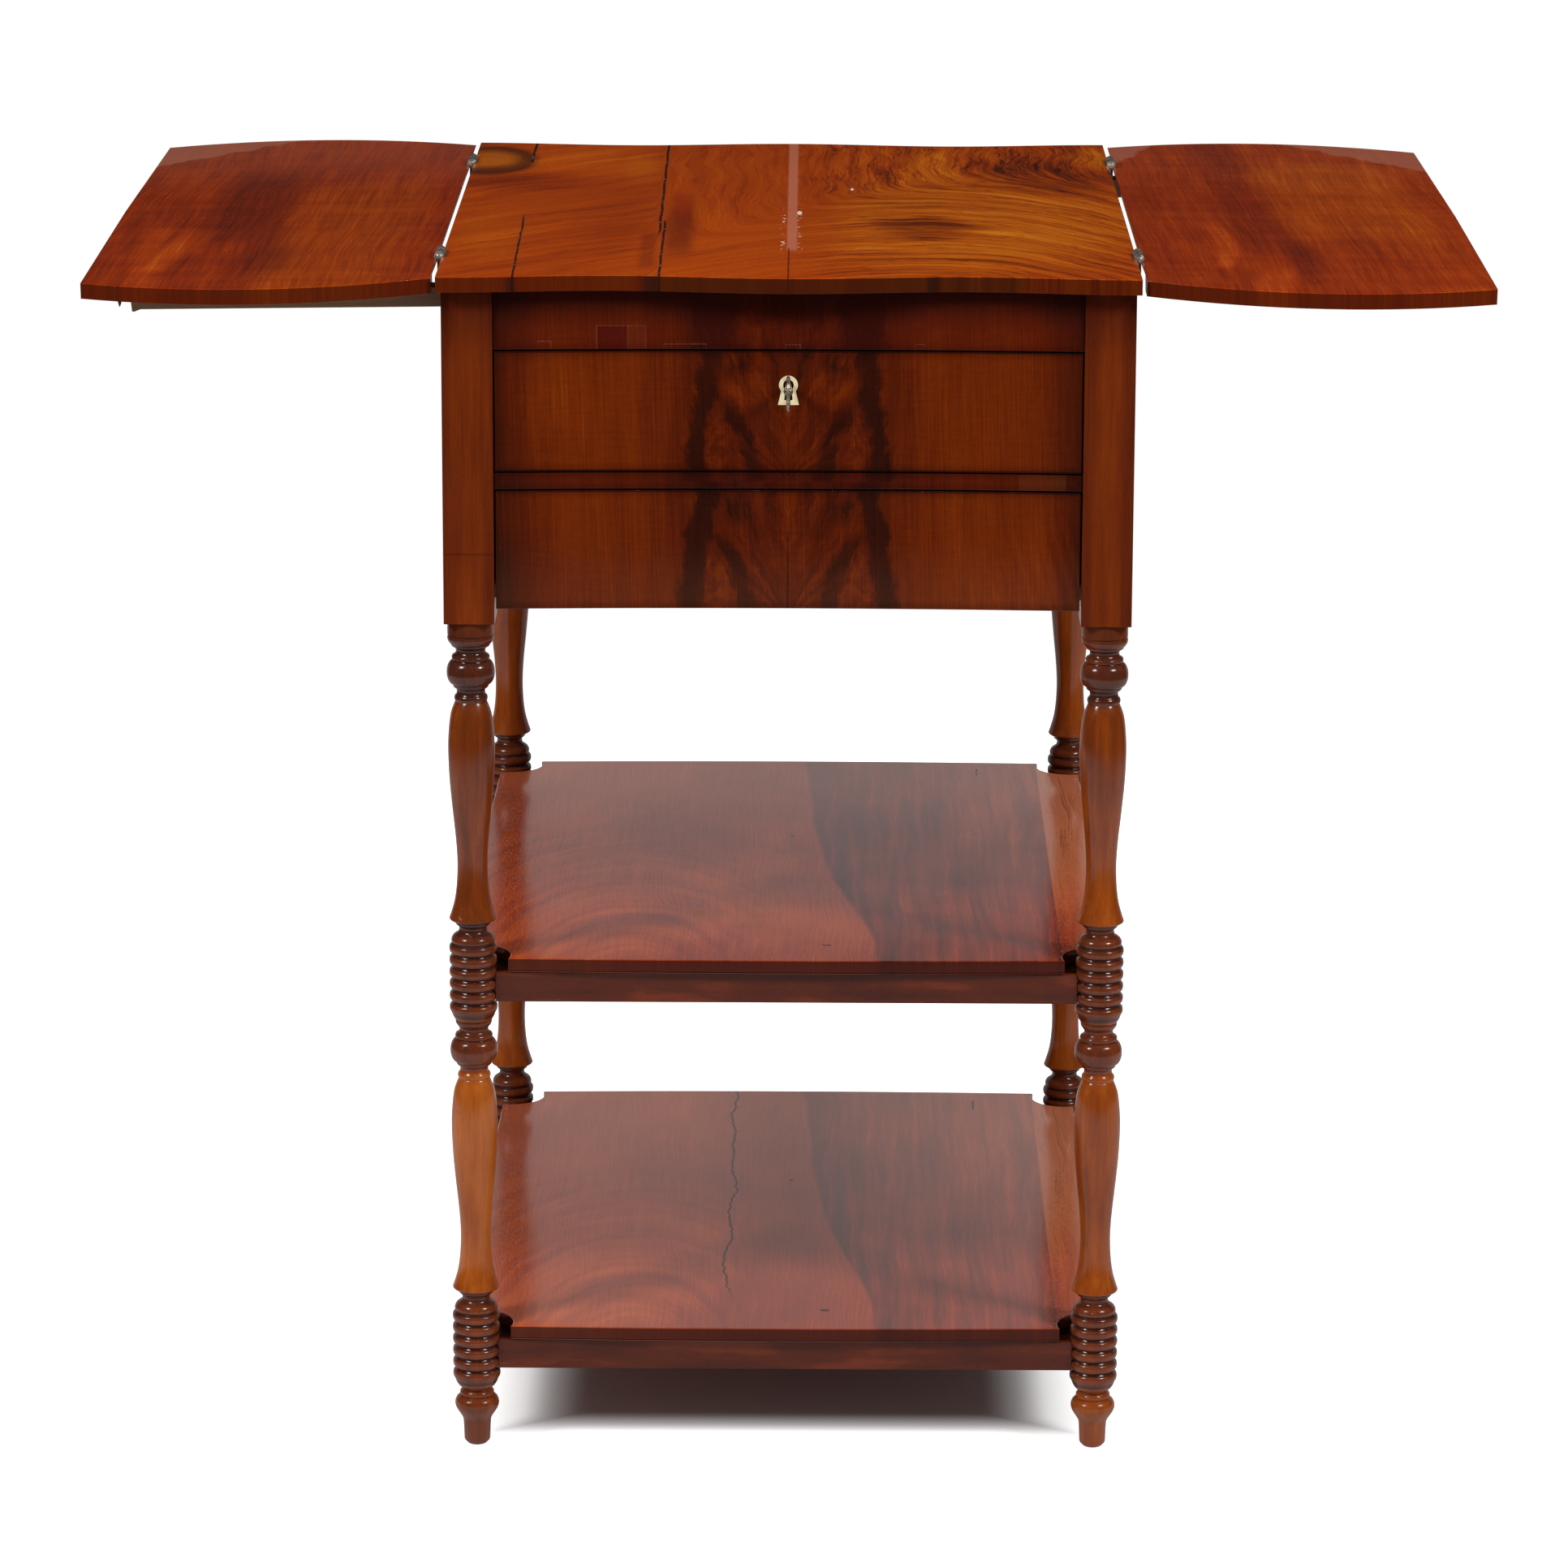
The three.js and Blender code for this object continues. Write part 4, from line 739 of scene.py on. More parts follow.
def leg_finish():
    wood = Finish("turned_mahogany", IOR=1.45, Specular_IOR_Level=0.4)
    x, y, z = wood.x, wood.y, wood.z
    across = abs(abs(x) - LEG_X)
    deep = abs(abs(y) - LEG_Y)
    radius = (across * across + deep * deep).math("SQRT")
    cloud = wood.sway(x * 0.05, y * 0.05, z * 0.014, 3.0)
    streaks = wood.sway(x * 0.22, y * 0.22, z * 0.01, 3.0, 0.6)
    tone = 0.68 + cloud * 0.6 + streaks * 0.5

    # the grooves are painted darker, and the stacks of rings are darker than the vases between them
    half_stack = RING_COUNT * RING_PITCH / 2
    in_rings = 0.0
    shoulders = 0.0
    for shelf_top in SHELF_TOPS:
        in_rings = z.band(shelf_top + STACK_ABOVE_SHELF - half_stack, half_stack, 2) + in_rings
        shoulders = z.band(shelf_top + STACK_ABOVE_SHELF + 7, 7, 3) + shoulders
    tone = tone - in_rings * 0.2 - in_rings * radius.rise(14.4, 13.1) * 0.5
    tone = tone - shoulders * 0.24 - shoulders * radius.rise(12.5, 10.0) * 0.2
    head = z.rise(POST_BOTTOM - 54, POST_BOTTOM - 46)
    tone = tone - head * 0.3 - radius.rise(11.4, 9.4) * head * 0.16
    foot = z.rise(43, 36)
    tone -= foot * x.rise(60, -60) * 0.18
    middle_knop = z.band(SHELF_TOPS[0] + STACK_ABOVE_SHELF - 2 * half_stack - 19.4, 14, 5)
    tone -= middle_knop * 0.26
    darker = in_rings + shoulders + head + foot * 0.6 + middle_knop

    # the front legs: both upper vases are dark, and the left leg's lower one is worn pale
    in_front = y.rise(-150, -190)
    front_right = x.rise(150, 190) * in_front
    front_left = x.rise(-150, -190) * in_front
    tone -= front_right * z.band(465, 30, 25) * 0.18
    tone = tone - front_left * z.band(430, 80, 30) * 0.22 + front_left * z.band(185, 60, 30) * 0.2
    tone -= middle_knop * x.rise(150, -150) * 0.12

    # posts: upright grain, darker towards the arrises, with the top's shadow painted on their upper
    # part
    post = z.rise(POST_BOTTOM - 0.4, POST_BOTTOM + 0.1)
    arris = across.least(deep).rise(5, 15)
    post_tone = 0.47 + cloud * 0.35 + streaks * 0.75 - arris * 0.2
    post_tone = post_tone - z.rise(690, 738) * 0.3 - x.rise(100, 190) * 0.05
    tone += (post_tone - tone) * post
    wood.colour = tones(wood, tone, *LEG_TONES)
    wood.paint((84, 40, 30), (darker * (1 - post)).least(1.0) * 0.35)
    wood.paint((106, 32, 6), post * 0.4)
    repair = z.band(577, 0.3, 0.4) * x.rise(-150, -160) * y.rise(-100, -120)
    wood.paint((44, 20, 12), repair * 0.45)
    height = grained(wood, x + y, z, 150.0, 0.08, 0.16, 0.32)
    dull = wood.noise(x * 0.06, y * 0.06, z * 0.03, 3.0)
    return wood.sealed(dull * 0.1 + 0.12, height)


keep("leg", leg_finish())

# %% [markdown]
# ## Shelves and their rails
# The shelves have kept their gloss, so they mirror the legs. A board with a dark streak was used on
# the right, with a narrow orange strip along the edge, and warm arcs show at the left. The lower
# shelf has split along the grain.

# %% Finish of the shelves
SHELF_TONES = ((64, 18, 12), (98, 30, 18), (136, 46, 18), (176, 74, 22), (208, 114, 42))


def shelf_finish(name, shelf_top, cracked):
    wood = Finish(name, IOR=1.5)
    x, y, z = wood.x, wood.y, wood.z
    drift = wood.sway(x * 0.01, y * 0.007, 6.0, 3.0)
    cloud = wood.sway(x * 0.018, y * 0.01, 8.0, 3.0)

    # warm arcs round a centre near the front left
    arcs = wood.spot(x + drift * 30, y, (-95, -335), (10, 26))
    arc_lines = wood.sway(arcs * 1.5, x * 0.008, 14.0, 4.0, 0.6)
    at_left = x.rise(10, -80) * y.rise(120, -10)
    tone = 0.54 + cloud * 0.4 + at_left * arc_lines * 0.5 + x.rise(-50, -150) * 0.06
    tone += wood.patch(x + drift * 60, y, (-130, -214), (80, 40), 1.3, 0.2) * 0.06
    tone += wood.patch(x + drift * 70, y, (-15, -130), (60, 90), 1.3, 0.2) * 0.08

    # the darker board on the right, with its sharp leaning edge
    line = x - 22 + y * 0.05 - y.rise(20, -230) * 22 + drift * 12
    dark_side = line.rise(-1.5, 2.5)
    streaks = wood.sway((x + drift * 14) * 0.13, y * 0.005, 22.0, 4.0, 0.6)
    tone = tone - dark_side * 0.17 - dark_side * line.rise(38, 6) * 0.14 + dark_side * streaks * 0.9
    fine = wood.sway((x + drift * 20) * 0.8, y * 0.012, 24.0, 3.0, 0.6)
    strip = x.rise(170, 171.5)
    tone += fine * 0.4 + y.rise(60, 240) * 0.09 + x.rise(80, 165) * y.rise(-180, 40) * 0.12
    tone += (0.84 + streaks * 0.8 - y.rise(-20, -235) * 0.34 - tone) * strip
    if cracked:
        # the lower shelf is painted a little lighter, as painted light against the shade of the
        # shelf above, and darker in one patch
        tone += 0.04 - wood.patch(x + drift * 60, y, (-5, -170), (60, 110), 1.3, 0.3) * 0.14
    wood.colour = tones(wood, tone, *SHELF_TONES)
    wood.paint((222, 138, 100), strip * y.rise(-220, 40) * (0.12 if cracked else 0.42))
    wood.paint((110, 40, 22), strip * (streaks + fine * 0.6).rise(0.0, 0.2) * 0.6)

    # a pale painted sheen stands for reflection on the polish, more towards the back
    painted_sheen = y.rise(0, 240) * 0.14
    if cracked:
        painted_sheen = y.rise(-120, 240) * 0.1 + x.rise(20, 170) * y.rise(-150, 150) * 0.08 + 0.07
    wood.paint((214, 156, 136), painted_sheen)

    height = grained(wood, x + drift * 20, y, 180.0, 0.05, 0.12, 0.22)

    # two small dents, a scratch and, on the lower shelf, the split
    scratch = (x - 125 - y * 0.02).band(0.0, 0.4, 0.5) * y.band(216, 8, 3)
    marks_and_shade_line = scratch.most(
        wood.patch(x, y, (25, -213), (3, 2), 1.2, 0.6),
        wood.patch(x, y, (3, 47), (1.2, 1.6), 1.2, 0.6),
    )
    if cracked:
        zigzag = wood.noise(y * 0.012, 2.0, 9.0, 1.0) * 20
        zigzag += wood.noise(y * 0.07, 7.0, 9.0, 5.0, 0.7) * 8
        marks_and_shade_line = marks_and_shade_line.most((x + 51 - zigzag).band(0.0, 0.35, 0.4) * y.rise(-205, -150))
    wood.paint((34, 16, 14), marks_and_shade_line * 0.9)

    # the edges are dark and dull, with a black line of painted shade along their foot above the
    # rail, and the polish is thicker towards the back
    half = SHELF_THICKNESS / 2
    edge = z.band(shelf_top - half, half - 0.7, 0.5)
    marks_and_shade_line = marks_and_shade_line.most(z.band(shelf_top - SHELF_THICKNESS, 0.9, 0.5) * 0.8)
    wood.paint((56, 20, 14), edge * 0.9)
    wood.paint((14, 6, 4), marks_and_shade_line * edge)
    gleam = y.rise(20, 240) * 0.22 - x.rise(30, 110) * y.rise(20, -200) * 0.14
    if cracked:
        gleam = y.rise(-150, 240) * 0.18 + x.rise(110, 190) * y.rise(-220, -60) * 0.1
        gleam -= wood.patch(x, y, (85, -200), (60, 60), 1.3, 0.4) * 0.12
    feed(wood.shader.inputs["Specular IOR Level"], (gleam + 0.5) * (1 - edge) + edge * 0.08)
    gloss = wood.noise(x * 0.04, y * 0.04, 26.0, 3.0)
    return wood.sealed(gloss * 0.1 + 0.1, height * 0.7 - marks_and_shade_line * 0.4)


keep("upper_shelf", shelf_finish("shelf_mahogany", SHELF_TOPS[0], False))
keep("lower_shelf", shelf_finish("split_shelf_mahogany", SHELF_TOPS[1], True))


# %% Finish of the rails
def rail_finish():
    wood = Finish("rail_mahogany", IOR=1.45, Specular_IOR_Level=0.25)
    x, y, z = wood.x, wood.y, wood.z
    wood.paint((78, 29, 12))
    cloud = wood.noise(x * 0.012, y * 0.012, z * 0.06, 3.0)
    wood.paint((112, 46, 22), cloud.rise(0.5, 0.66) * 0.7)
    wood.paint((56, 22, 14), cloud.rise(0.48, 0.34) * 0.6)
    height = grained(wood, z, x + y, 210.0, 0.12, 0.14, 0.3)
    return wood.sealed(cloud * 0.1 + 0.16, height)


keep("rail", rail_finish())

# %% [markdown]
# ## Plain woods inside
# The rest is wood without figure. The linings, runners and bearers are pale and only planed, the
# pull-out supports are grey with handling, the glue blocks are painted near-black as the shade
# under the shelves, and aprons and back are polished. One finish serves them all, and a table
# gives its colours and the axes across and along the grain.


# %% Plain woods
def plain_wood(name, base, light, dark, across, along, roughness, seed):
    wood = Finish(name)
    axis = {"x": wood.x, "y": wood.y, "z": wood.z}
    wood.paint(base)
    cloud = wood.noise(axis[across] * 0.035, axis[along] * 0.0025, seed, 4.0)
    wood.paint(light, cloud.rise(0.48, 0.66) * 0.7)
    wood.paint(dark, cloud.rise(0.48, 0.32) * 0.6)
    height = grained(wood, axis[across], axis[along], seed, 0.14, 0.16, 0.3)
    return wood.sealed(cloud * 0.15 + roughness, height * 2)


PLAIN_WOODS = {
    "apron": ("apron_mahogany", (112, 46, 18), (140, 62, 20), (84, 34, 16), "z", "y", 0.3, 240.0),
    "back": ("back_mahogany", (108, 46, 20), (132, 60, 24), (80, 34, 18), "z", "x", 0.36, 260.0),
    # the glue blocks: near-black, as painted shade under the shelves
    "block": ("shade_dark_block_wood", (44, 24, 17), (58, 32, 20), (30, 18, 14), "z", "x", 0.6, 270.0),
    "loper": ("support_wood", (134, 98, 68), (158, 120, 84), (96, 70, 50), "z", "x", 0.55, 280.0),
    "lining_x": (
        "lining_crosswise", (178, 132, 80), (196, 152, 98), (146, 104, 62), "z", "x", 0.55, 300.0
    ),
    "lining_y": (
        "lining_lengthwise", (176, 130, 78), (194, 150, 96), (144, 102, 60), "z", "y", 0.55, 320.0
    ),
    "lining_floor": (
        "lining_floor", (172, 128, 78), (190, 148, 96), (140, 100, 60), "y", "x", 0.55, 340.0
    ),
}
for key, row in PLAIN_WOODS.items():
    keep(key, plain_wood(*row))

# %% [markdown]
# ## Metal and bone
# The hinges and key are iron gone dark, with brighter rubbed spots. The lock is brass under a brown
# skin. The keyhole plate is bone: creamy, with faint lines and a soft shine from light that enters
# it, which a little subsurface scattering gives.


# %% Metal and bone
def aged_metal(name, bare, tarnish, seed, roughness, metallic):
    metal = Finish(name, Metallic=metallic)
    x, y, z = metal.x, metal.y, metal.z
    metal.paint(bare)
    skin = metal.noise(x * 0.35, y * 0.35, z * 0.35 + seed, 4.0, 0.65)
    metal.paint(tarnish, skin.rise(0.38, 0.6) * 0.9)
    pits = metal.noise(x * 1.6, y * 1.6, z * 1.6 + seed, 3.0, 0.6)
    metal.shade((pits - 0.5) * 0.5 + 1.0)
    return metal.sealed(skin * 0.3 + roughness, pits * 0.04)


def bone_finish():
    bone = Finish("old_bone", Subsurface_Weight=0.15, Subsurface_Scale=0.004)
    x, y, z = bone.x, bone.y, bone.z
    bone.paint((226, 212, 172))
    bone.paint((188, 164, 116), bone.noise(x * 0.3, y * 0.3, z * 0.12, 3.0).rise(0.5, 0.72) * 0.7)
    lines = bone.noise(x * 2.4, y * 1.0, z * 0.2, 3.0, 0.6)
    bone.paint((150, 124, 84), lines.rise(0.58, 0.72) * 0.5)
    return bone.sealed(lines * 0.2 + 0.25, lines * 0.03)


keep("hinge", aged_metal("hinge_iron", (168, 160, 150), (92, 80, 70), 3.0, 0.3, 0.6))
keep("key", aged_metal("key_iron", (186, 172, 152), (92, 74, 58), 9.0, 0.18, 0.75))
keep("lock", aged_metal("lock_brass", (172, 136, 74), (104, 78, 42), 15.0, 0.3, 1.0))
keep("bone", bone_finish())
print(len(FINISHES), "finishes")

# %% [markdown]
# ## Turned legs
# A turner cuts a leg's outline with gouge and skew while it spins, and the Spin operator does the
# same to an outline. The outline here runs down from the post: a head with a bead, then twice a
# ball, a vase with a flaring rim and a stack of six rings, and the foot. Each member is a few
# points in radius and height.

# %% The outline of a leg
TURNING_STEPS = 56


def ball(top, height, end, full, steps=14):
    """Half an oval, as a turner cuts a ball between two steps."""
    half, swell = height / 2, full - end
    angles = [math.pi * i / steps for i in range(steps + 1)]
    return [(end + swell * math.sin(a), top - half * (1 - math.cos(a))) for a in angles]


def moved(points, top):
    """An outline given from its own top, put at a height."""
    return [(radius, top - drop) for radius, drop in points]


def smooth_through(points, steps):
    """A smooth curve through the points, with the same number of steps between each two."""
    padded = [points[0], *points, points[-1]]
    curve = []
    for a, b, c, d in zip(padded, padded[1:], padded[2:], padded[3:]):
        for i in range(steps):
            t = i / steps
            weights = (
                (-t + 2 * t * t - t**3) / 2,
                (2 - 5 * t * t + 3 * t**3) / 2,
                (t + 4 * t * t - 3 * t**3) / 2,
                (t**3 - t * t) / 2,
            )
            spread = list(zip(weights, (a, b, c, d)))
            curve.append(tuple(sum(w * p[axis] for w, p in spread) for axis in (0, 1)))
    return [*curve, points[-1]]


def knop(top):
    """Neck, small bead, ball, step, neck and the bead that heads a vase, and where they end."""
    points = moved(
        [(9.8, 0.6), (9.1, 1.6), (9.0, 2.9), (9.4, 4.1), (10.4, 4.9), (11.3, 5.4), (11.7, 6.4)], top
    )
    points += moved([(11.6, 7.5), (11.2, 8.1), (10.9, 8.4)], top)
    points += ball(top - 8.6, 15.0, 11.0, 14.8)
    points += moved([(10.9, 23.9), (10.9, 25.0), (10.3, 25.7), (9.2, 26.2), (8.8, 27.0)], top)
    points += moved([(8.7, 28.4), (8.9, 29.6), (9.4, 30.3), (10.0, 30.9), (10.3, 32.0)], top)
    points += moved([(10.2, 33.2), (9.8, 34.0), (9.7, 34.4)], top)
    return points, top - 34.7


def vase(top, bottom):
    """A full belly, a slim waist and a rim that flares at the foot."""
    height = top - bottom
    shape = [(9.9, 0.0), (12.6, 0.055), (14.0, 0.14), (14.4, 0.23), (13.7, 0.36), (12.0, 0.5)]
    shape += [(10.2, 0.63), (9.35, 0.74), (9.8, 0.84), (11.1, 0.915), (13.2, 0.972), (14.5, 1.0)]
    return smooth_through([(radius, top - height * part) for radius, part in shape], 4)


def shoulder(rings_top):
    """The underside of the rim, a step, a neck and the flared bead over the rings."""
    up = [(14.6, 16.2), (14.2, 15.5), (12.9, 14.7), (11.3, 14.2), (10.8, 13.9), (10.7, 12.5)]
    up += [(10.0, 11.9), (9.0, 11.2), (8.7, 10.2), (8.7, 9.0), (9.0, 7.9), (9.9, 6.9), (11.3, 6.1)]
    up += [(12.5, 5.1), (13.3, 3.7), (13.6, 2.3), (13.4, 1.2), (12.9, 0.6), (12.9, 0.1)]
    return [(radius, rings_top + rise) for radius, rise in up]


def rings(top):
    """Six rounded rings with narrow dark grooves."""
    ring = [(14.1, 0.5), (14.7, 1.3), (14.9, 2.5), (14.9, 3.6), (14.6, 4.8), (14.0, 5.6)]
    ring += [(13.1, 6.1), (12.8, 6.8), (13.2, 7.5)]
    points = []
    for i in range(RING_COUNT):
        points += moved(ring, top - i * RING_PITCH)
    return points[:-3]


def leg_outline():
    head = POST_BOTTOM
    points = [(0.0, head + 2), (14.2, head + 2), (14.2, head - 8.8), (13.4, head - 9.2)]
    points += [(13.4, head - 9.7), (14.1, head - 10.2), (14.3, head - 11.4), (13.9, head - 13.0)]
    points += [(12.9, head - 14.6), (12.1, head - 15.4), (11.8, head - 15.6), (11.7, head - 16.4)]
    points += [(11.0, head - 16.9)]
    top = head - 17
    for shelf_top in SHELF_TOPS:
        stack = shelf_top + STACK_ABOVE_SHELF
        knop_points, vase_top = knop(top)
        points += knop_points + vase(vase_top, stack + 16.7) + shoulder(stack) + rings(stack)
        end = stack - RING_COUNT * RING_PITCH
        points += moved([(13.5, -0.6), (13.0, 0.8), (12.1, 2.3), (11.6, 3.1), (11.2, 3.4)], end)
        if shelf_top == SHELF_TOPS[0]:
            points += moved([(11.4, 3.8), (11.3, 5.4), (10.9, 6.2)], end)
            top = end - 7.1
    points += moved([(9.2, 3.8), (8.6, 4.4), (8.6, 5.2), (9.0, 5.9), (10.0, 6.6), (10.7, 7.6)], end)
    points += moved([(10.7, 8.9), (10.3, 9.8), (10.2, 10.1), (11.6, 10.6), (12.9, 11.9)], end)
    points += moved([(13.6, 13.5), (13.9, 15.2), (13.6, 17.0), (12.9, 18.8), (11.8, 20.6)], end)
    points += moved([(10.7, 22.3), (9.7, 23.9), (9.0, 25.4), (8.7, 26.8)], end)
    return points + [(8.5, 12.0), (8.2, 3.0), (7.8, 2.0), (6.2, 0.3), (5.6, 0.0), (0.0, 0.0)]


# %% [markdown]
# ## Spinning the outline
# The outline is drawn as by hand: a plane is merged to one vertex, which is extruded from point to
# point. Spin then turns it round the leg's axis, the seam and the poles are merged, and normals are
# recalculated because a spin can leave the surface inside out.


# %% Spin
AXES = {  # an axis, and a direction straight out from it
    "Y": (Vector((0, 1, 0)), Vector((0, 0, 1))),
    "Z": (Vector((0, 0, 1)), Vector((1, 0, 0))),
}


def drawn(name, points):
    """A line of vertices through points in metres."""
    piece = primitive(bpy.ops.mesh.primitive_plane_add, name, size=MM)
    editing(piece)
    bpy.ops.mesh.merge(type="CENTER")
    previous = Vector(points[0])
    bpy.ops.transform.translate(value=previous)
    for point in points[1:]:
        step = Vector(point) - previous
        bpy.ops.mesh.extrude_region_move(TRANSFORM_OT_translate={"value": step})
        previous = Vector(point)
    done_editing()
    return piece


def turned(name, outline, middle, axis="Z", steps=TURNING_STEPS):
    """An outline of (radius, place along the axis) spun round an axis through the middle."""
    middle = Vector(middle)
    along, out = AXES[axis]
    piece = drawn(name, [(middle + out * radius + along * place) * MM for radius, place in outline])
    editing(piece)
    bpy.ops.mesh.spin(steps=steps, angle=math.tau, center=middle * MM, axis=along)
    bpy.ops.mesh.select_all(action="SELECT")
    bpy.ops.mesh.remove_doubles(threshold=0.005 * MM)
    bpy.ops.mesh.normals_make_consistent(inside=False)
    done_editing()
    smooth(piece, 42)
    return piece


turning = turned("turning", leg_outline(), (0, 0, 0))
print("a turned leg has", len(turning.data.polygons), "faces")

# %% [markdown]
# ## Posts
# A CAD leg is post and turning in one. A bisect just above the turning keeps the square post, with
# its mortises, and the finely turned part is joined to it. One turning serves for all four legs.

# %% Legs
POST_ARRIS = 0.8
POST_CUT = (0, 0, (POST_BOTTOM + 0.05) * MM)
for end, side, x, y in LEG_PLACES:
    name = f"leg_{end}_{side}"
    post = merged(name)
    editing(post)
    bpy.ops.mesh.bisect(plane_co=POST_CUT, plane_no=(0, 0, 1), clear_inner=True, use_fill=True)
    done_editing()
    bevelled(post, POST_ARRIS)
    lower = reshaped(copy_of(turning, name + "_turning"), shift=(x * MM, y * MM, 0))
    leg = joined(name + "_finished", post, lower)
    owned(leg, FINISHES["leg"], name)
bpy.data.objects.remove(turning)
print("four legs, each", len(leg.data.polygons), "faces")

# %% [markdown]
# ## Boards in their places
# Everything flat takes the same step. What differs is the finish, and how many millimetres of the
# arris have worn away.

# %% Boards of the table
LEVELS = ("upper", "lower")
SIDES = ("left", "right")
BOARDS = {
    "top": (["top_panel"], 0.9),
    "front": (["frieze", "drawer_rail", "upper_drawer_front", "lower_drawer_front"], 0.7),
    "apron": (["side_apron_left", "side_apron_right"], 0.6),
    "back": (["back_panel"], 0.6),
    "upper_shelf": (["upper_shelf"], 1.1),
    "lower_shelf": (["lower_shelf"], 1.1),
    "loper": (["loper_left", "loper_right", "loper_left_stop_peg", "loper_right_stop_peg"], 0.5),
    "lining_x": (
        ["loper_bearer_front", "loper_bearer_back", "upper_drawer_back", "lower_drawer_back"]
        + ["upper_drawer_divider_cross"],
        0.5,
    ),
    "lining_y": (
        [f"{level}_runner_{side}" for level in LEVELS for side in SIDES]
        + [f"{level}_drawer_side_{side}" for level in LEVELS for side in SIDES]
        + ["upper_drawer_divider_long"],
        0.5,
    ),
    "lining_floor": (["upper_drawer_bottom", "lower_drawer_bottom"], 0.4),
    "rail": (
        [f"{level}_shelf_rail_{end}" for level in LEVELS for end in ("front", "back", *SIDES)],
        0.8,
    ),
    "lock": (["lock_case", "lock_bolt"], 0.3),
    "bone": (["escutcheon"], 0.35),
}
for finish, (names, arris) in BOARDS.items():
    for name in names:
        board(name, FINISHES[finish], arris)
print(sum(len(names) for names, arris in BOARDS.values()), "boards")

# %% [markdown]
# ## Leaves with a planed hinge edge
# The hinge edge of a drop leaf is planed back underneath, so that it can't bind as the leaf swings.
# That opens the joint towards the floor and lets light through it. Two cuts across the leaf mark
# where the planing stops, and behind them the lower arris is pushed back under the leaf.

# %% Leaves
LEAF_ARRIS = 0.9
EDGE_TAKEN_BACK = 3.6
STOPPED_AT = (-243, -235)  # the planing runs out before the front end, from here to here
LOWER_ARRIS = 8  # everything this far below the highest point is the lower arris
for side, name in ((-1, "leaf_left"), (1, "leaf_right")):
    leaf = merged(name)
    low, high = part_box(name)
    root = min(abs(low.x), abs(high.x)) / MM
    editing(leaf)
    for y in STOPPED_AT:
        bpy.ops.mesh.select_all(action="SELECT")
        bpy.ops.mesh.bisect(plane_co=(0, y * MM, 0), plane_no=(0, 1, 0), threshold=1e-6)
    bpy.ops.mesh.select_all(action="DESELECT")
    done_editing()
    for vertex in leaf.data.vertices:
        place = vertex.co / MM
        at_edge = abs(place.x) < root + 1 and place.z < high.z / MM - LOWER_ARRIS
        vertex.select = at_edge and place.y > STOPPED_AT[1] - 1
    bpy.ops.object.mode_set(mode="EDIT")
    bpy.ops.transform.translate(value=(side * EDGE_TAKEN_BACK * MM, 0, 0))
    done_editing()
    owned(bevelled(leaf, LEAF_ARRIS), FINISHES[name], name)
    print(name, len(leaf.data.polygons), "faces")

# %% [markdown]
# ## Hinges
# A butt hinge is two plates let into the joint, rolled round one pin. The top holds the two end
# knuckles and the leaf the middle one, so each half goes to its own body. The barrel is turned once
# at the origin and copied: a half turn about the upright axis makes the left hinges from the right
# ones.

# %% Hinge parts
KNUCKLE_RADIUS = 3.1
KNUCKLE_HALF = 3.8
KNUCKLE_PLACES = {"top_plate": (-8, 8), "leaf_plate": (0,)}  # along the pin
PIN_HALF = 12.2
PLATE_PLACES = {"top_plate": (-1.2, -0.3), "leaf_plate": (0.3, 1.2)}  # across the joint


def block(name, low, high, arris):
    """A bar with rounded arrises between two corners, in millimetres."""
    low, high = Vector(low) * MM, Vector(high) * MM
    cube = primitive(bpy.ops.mesh.primitive_cube_add, name, size=1)
    return bevelled(reshaped(cube, stretch=high - low, shift=(low + high) / 2), arris)


def placed(source, name, place, angle=0.0):
    """A copy of a piece, turned about the upright axis and moved to its place in millimetres."""
    return reshaped(copy_of(source, name), angle=angle, shift=Vector(place) * MM)


rolled = [(0, -KNUCKLE_HALF), (2.5, -KNUCKLE_HALF), (2.9, -3.65), (KNUCKLE_RADIUS, -3.3)]
rolled += [(radius, -place) for radius, place in reversed(rolled)]
knuckle = turned("knuckle", rolled, (0, 0, 0), "Y", steps=24)
riveted = [(0, -PIN_HALF - 0.7), (1.0, -PIN_HALF - 0.6), (1.7, -PIN_HALF - 0.3), (2.0, -PIN_HALF)]
riveted += [(1.2, 0.1 - PIN_HALF)]
riveted += [(radius, -place) for radius, place in reversed(riveted)]
hinge_parts = {"pin": turned("pin", riveted, (0, 0, 0), "Y", steps=20)}
for part, (near, far) in PLATE_PLACES.items():
    plate = block(part, (near, -12, -8.4), (far, 12, -1.5), 0.2)
    rolls = [placed(knuckle, "roll", (0, y, 0)) for y in KNUCKLE_PLACES[part]]
    hinge_parts[part] = joined(part, plate, *rolls)
print("hinge parts", {part: len(piece.data.polygons) for part, piece in hinge_parts.items()})

# %% Hinges
for side in SIDES:
    for end in ("front", "back"):
        low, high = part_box(f"hinge_{side}_{end}_pin")
        for part, source in hinge_parts.items():
            name = f"hinge_{side}_{end}_{part}"
            angle = math.pi if side == "left" else 0.0
            piece = placed(source, name + "_finished", (low + high) / 2 / MM, angle)
            owned(piece, FINISHES["hinge"], name)
for source in (knuckle, *hinge_parts.values()):
    bpy.data.objects.remove(source)

# %% [markdown]
# ## A splinter under the left leaf
# The lower arris of the left leaf has started to split near its free corner, and a splinter hangs
# from it. It is a five-sided spike, and it swings with the leaf.

# %% Splinter
SPLINTER_PLACE = (-400, -275)
SPLINTER_OUTLINE = [(0, 1.5), (1.5, 1.5), (1.3, 0.0), (0.9, -1.8), (0.4, -3.2), (0, -3.8)]
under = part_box("leaf_left")[0].z / MM + 0.6
splinter = turned("leaf_splinter", SPLINTER_OUTLINE, (*SPLINTER_PLACE, under), steps=5)
splinter.data.materials.append(FINISHES["leaf_left"])
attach(splinter, "leaf_left")
print("splinter under", SPLINTER_PLACE, "from", under)
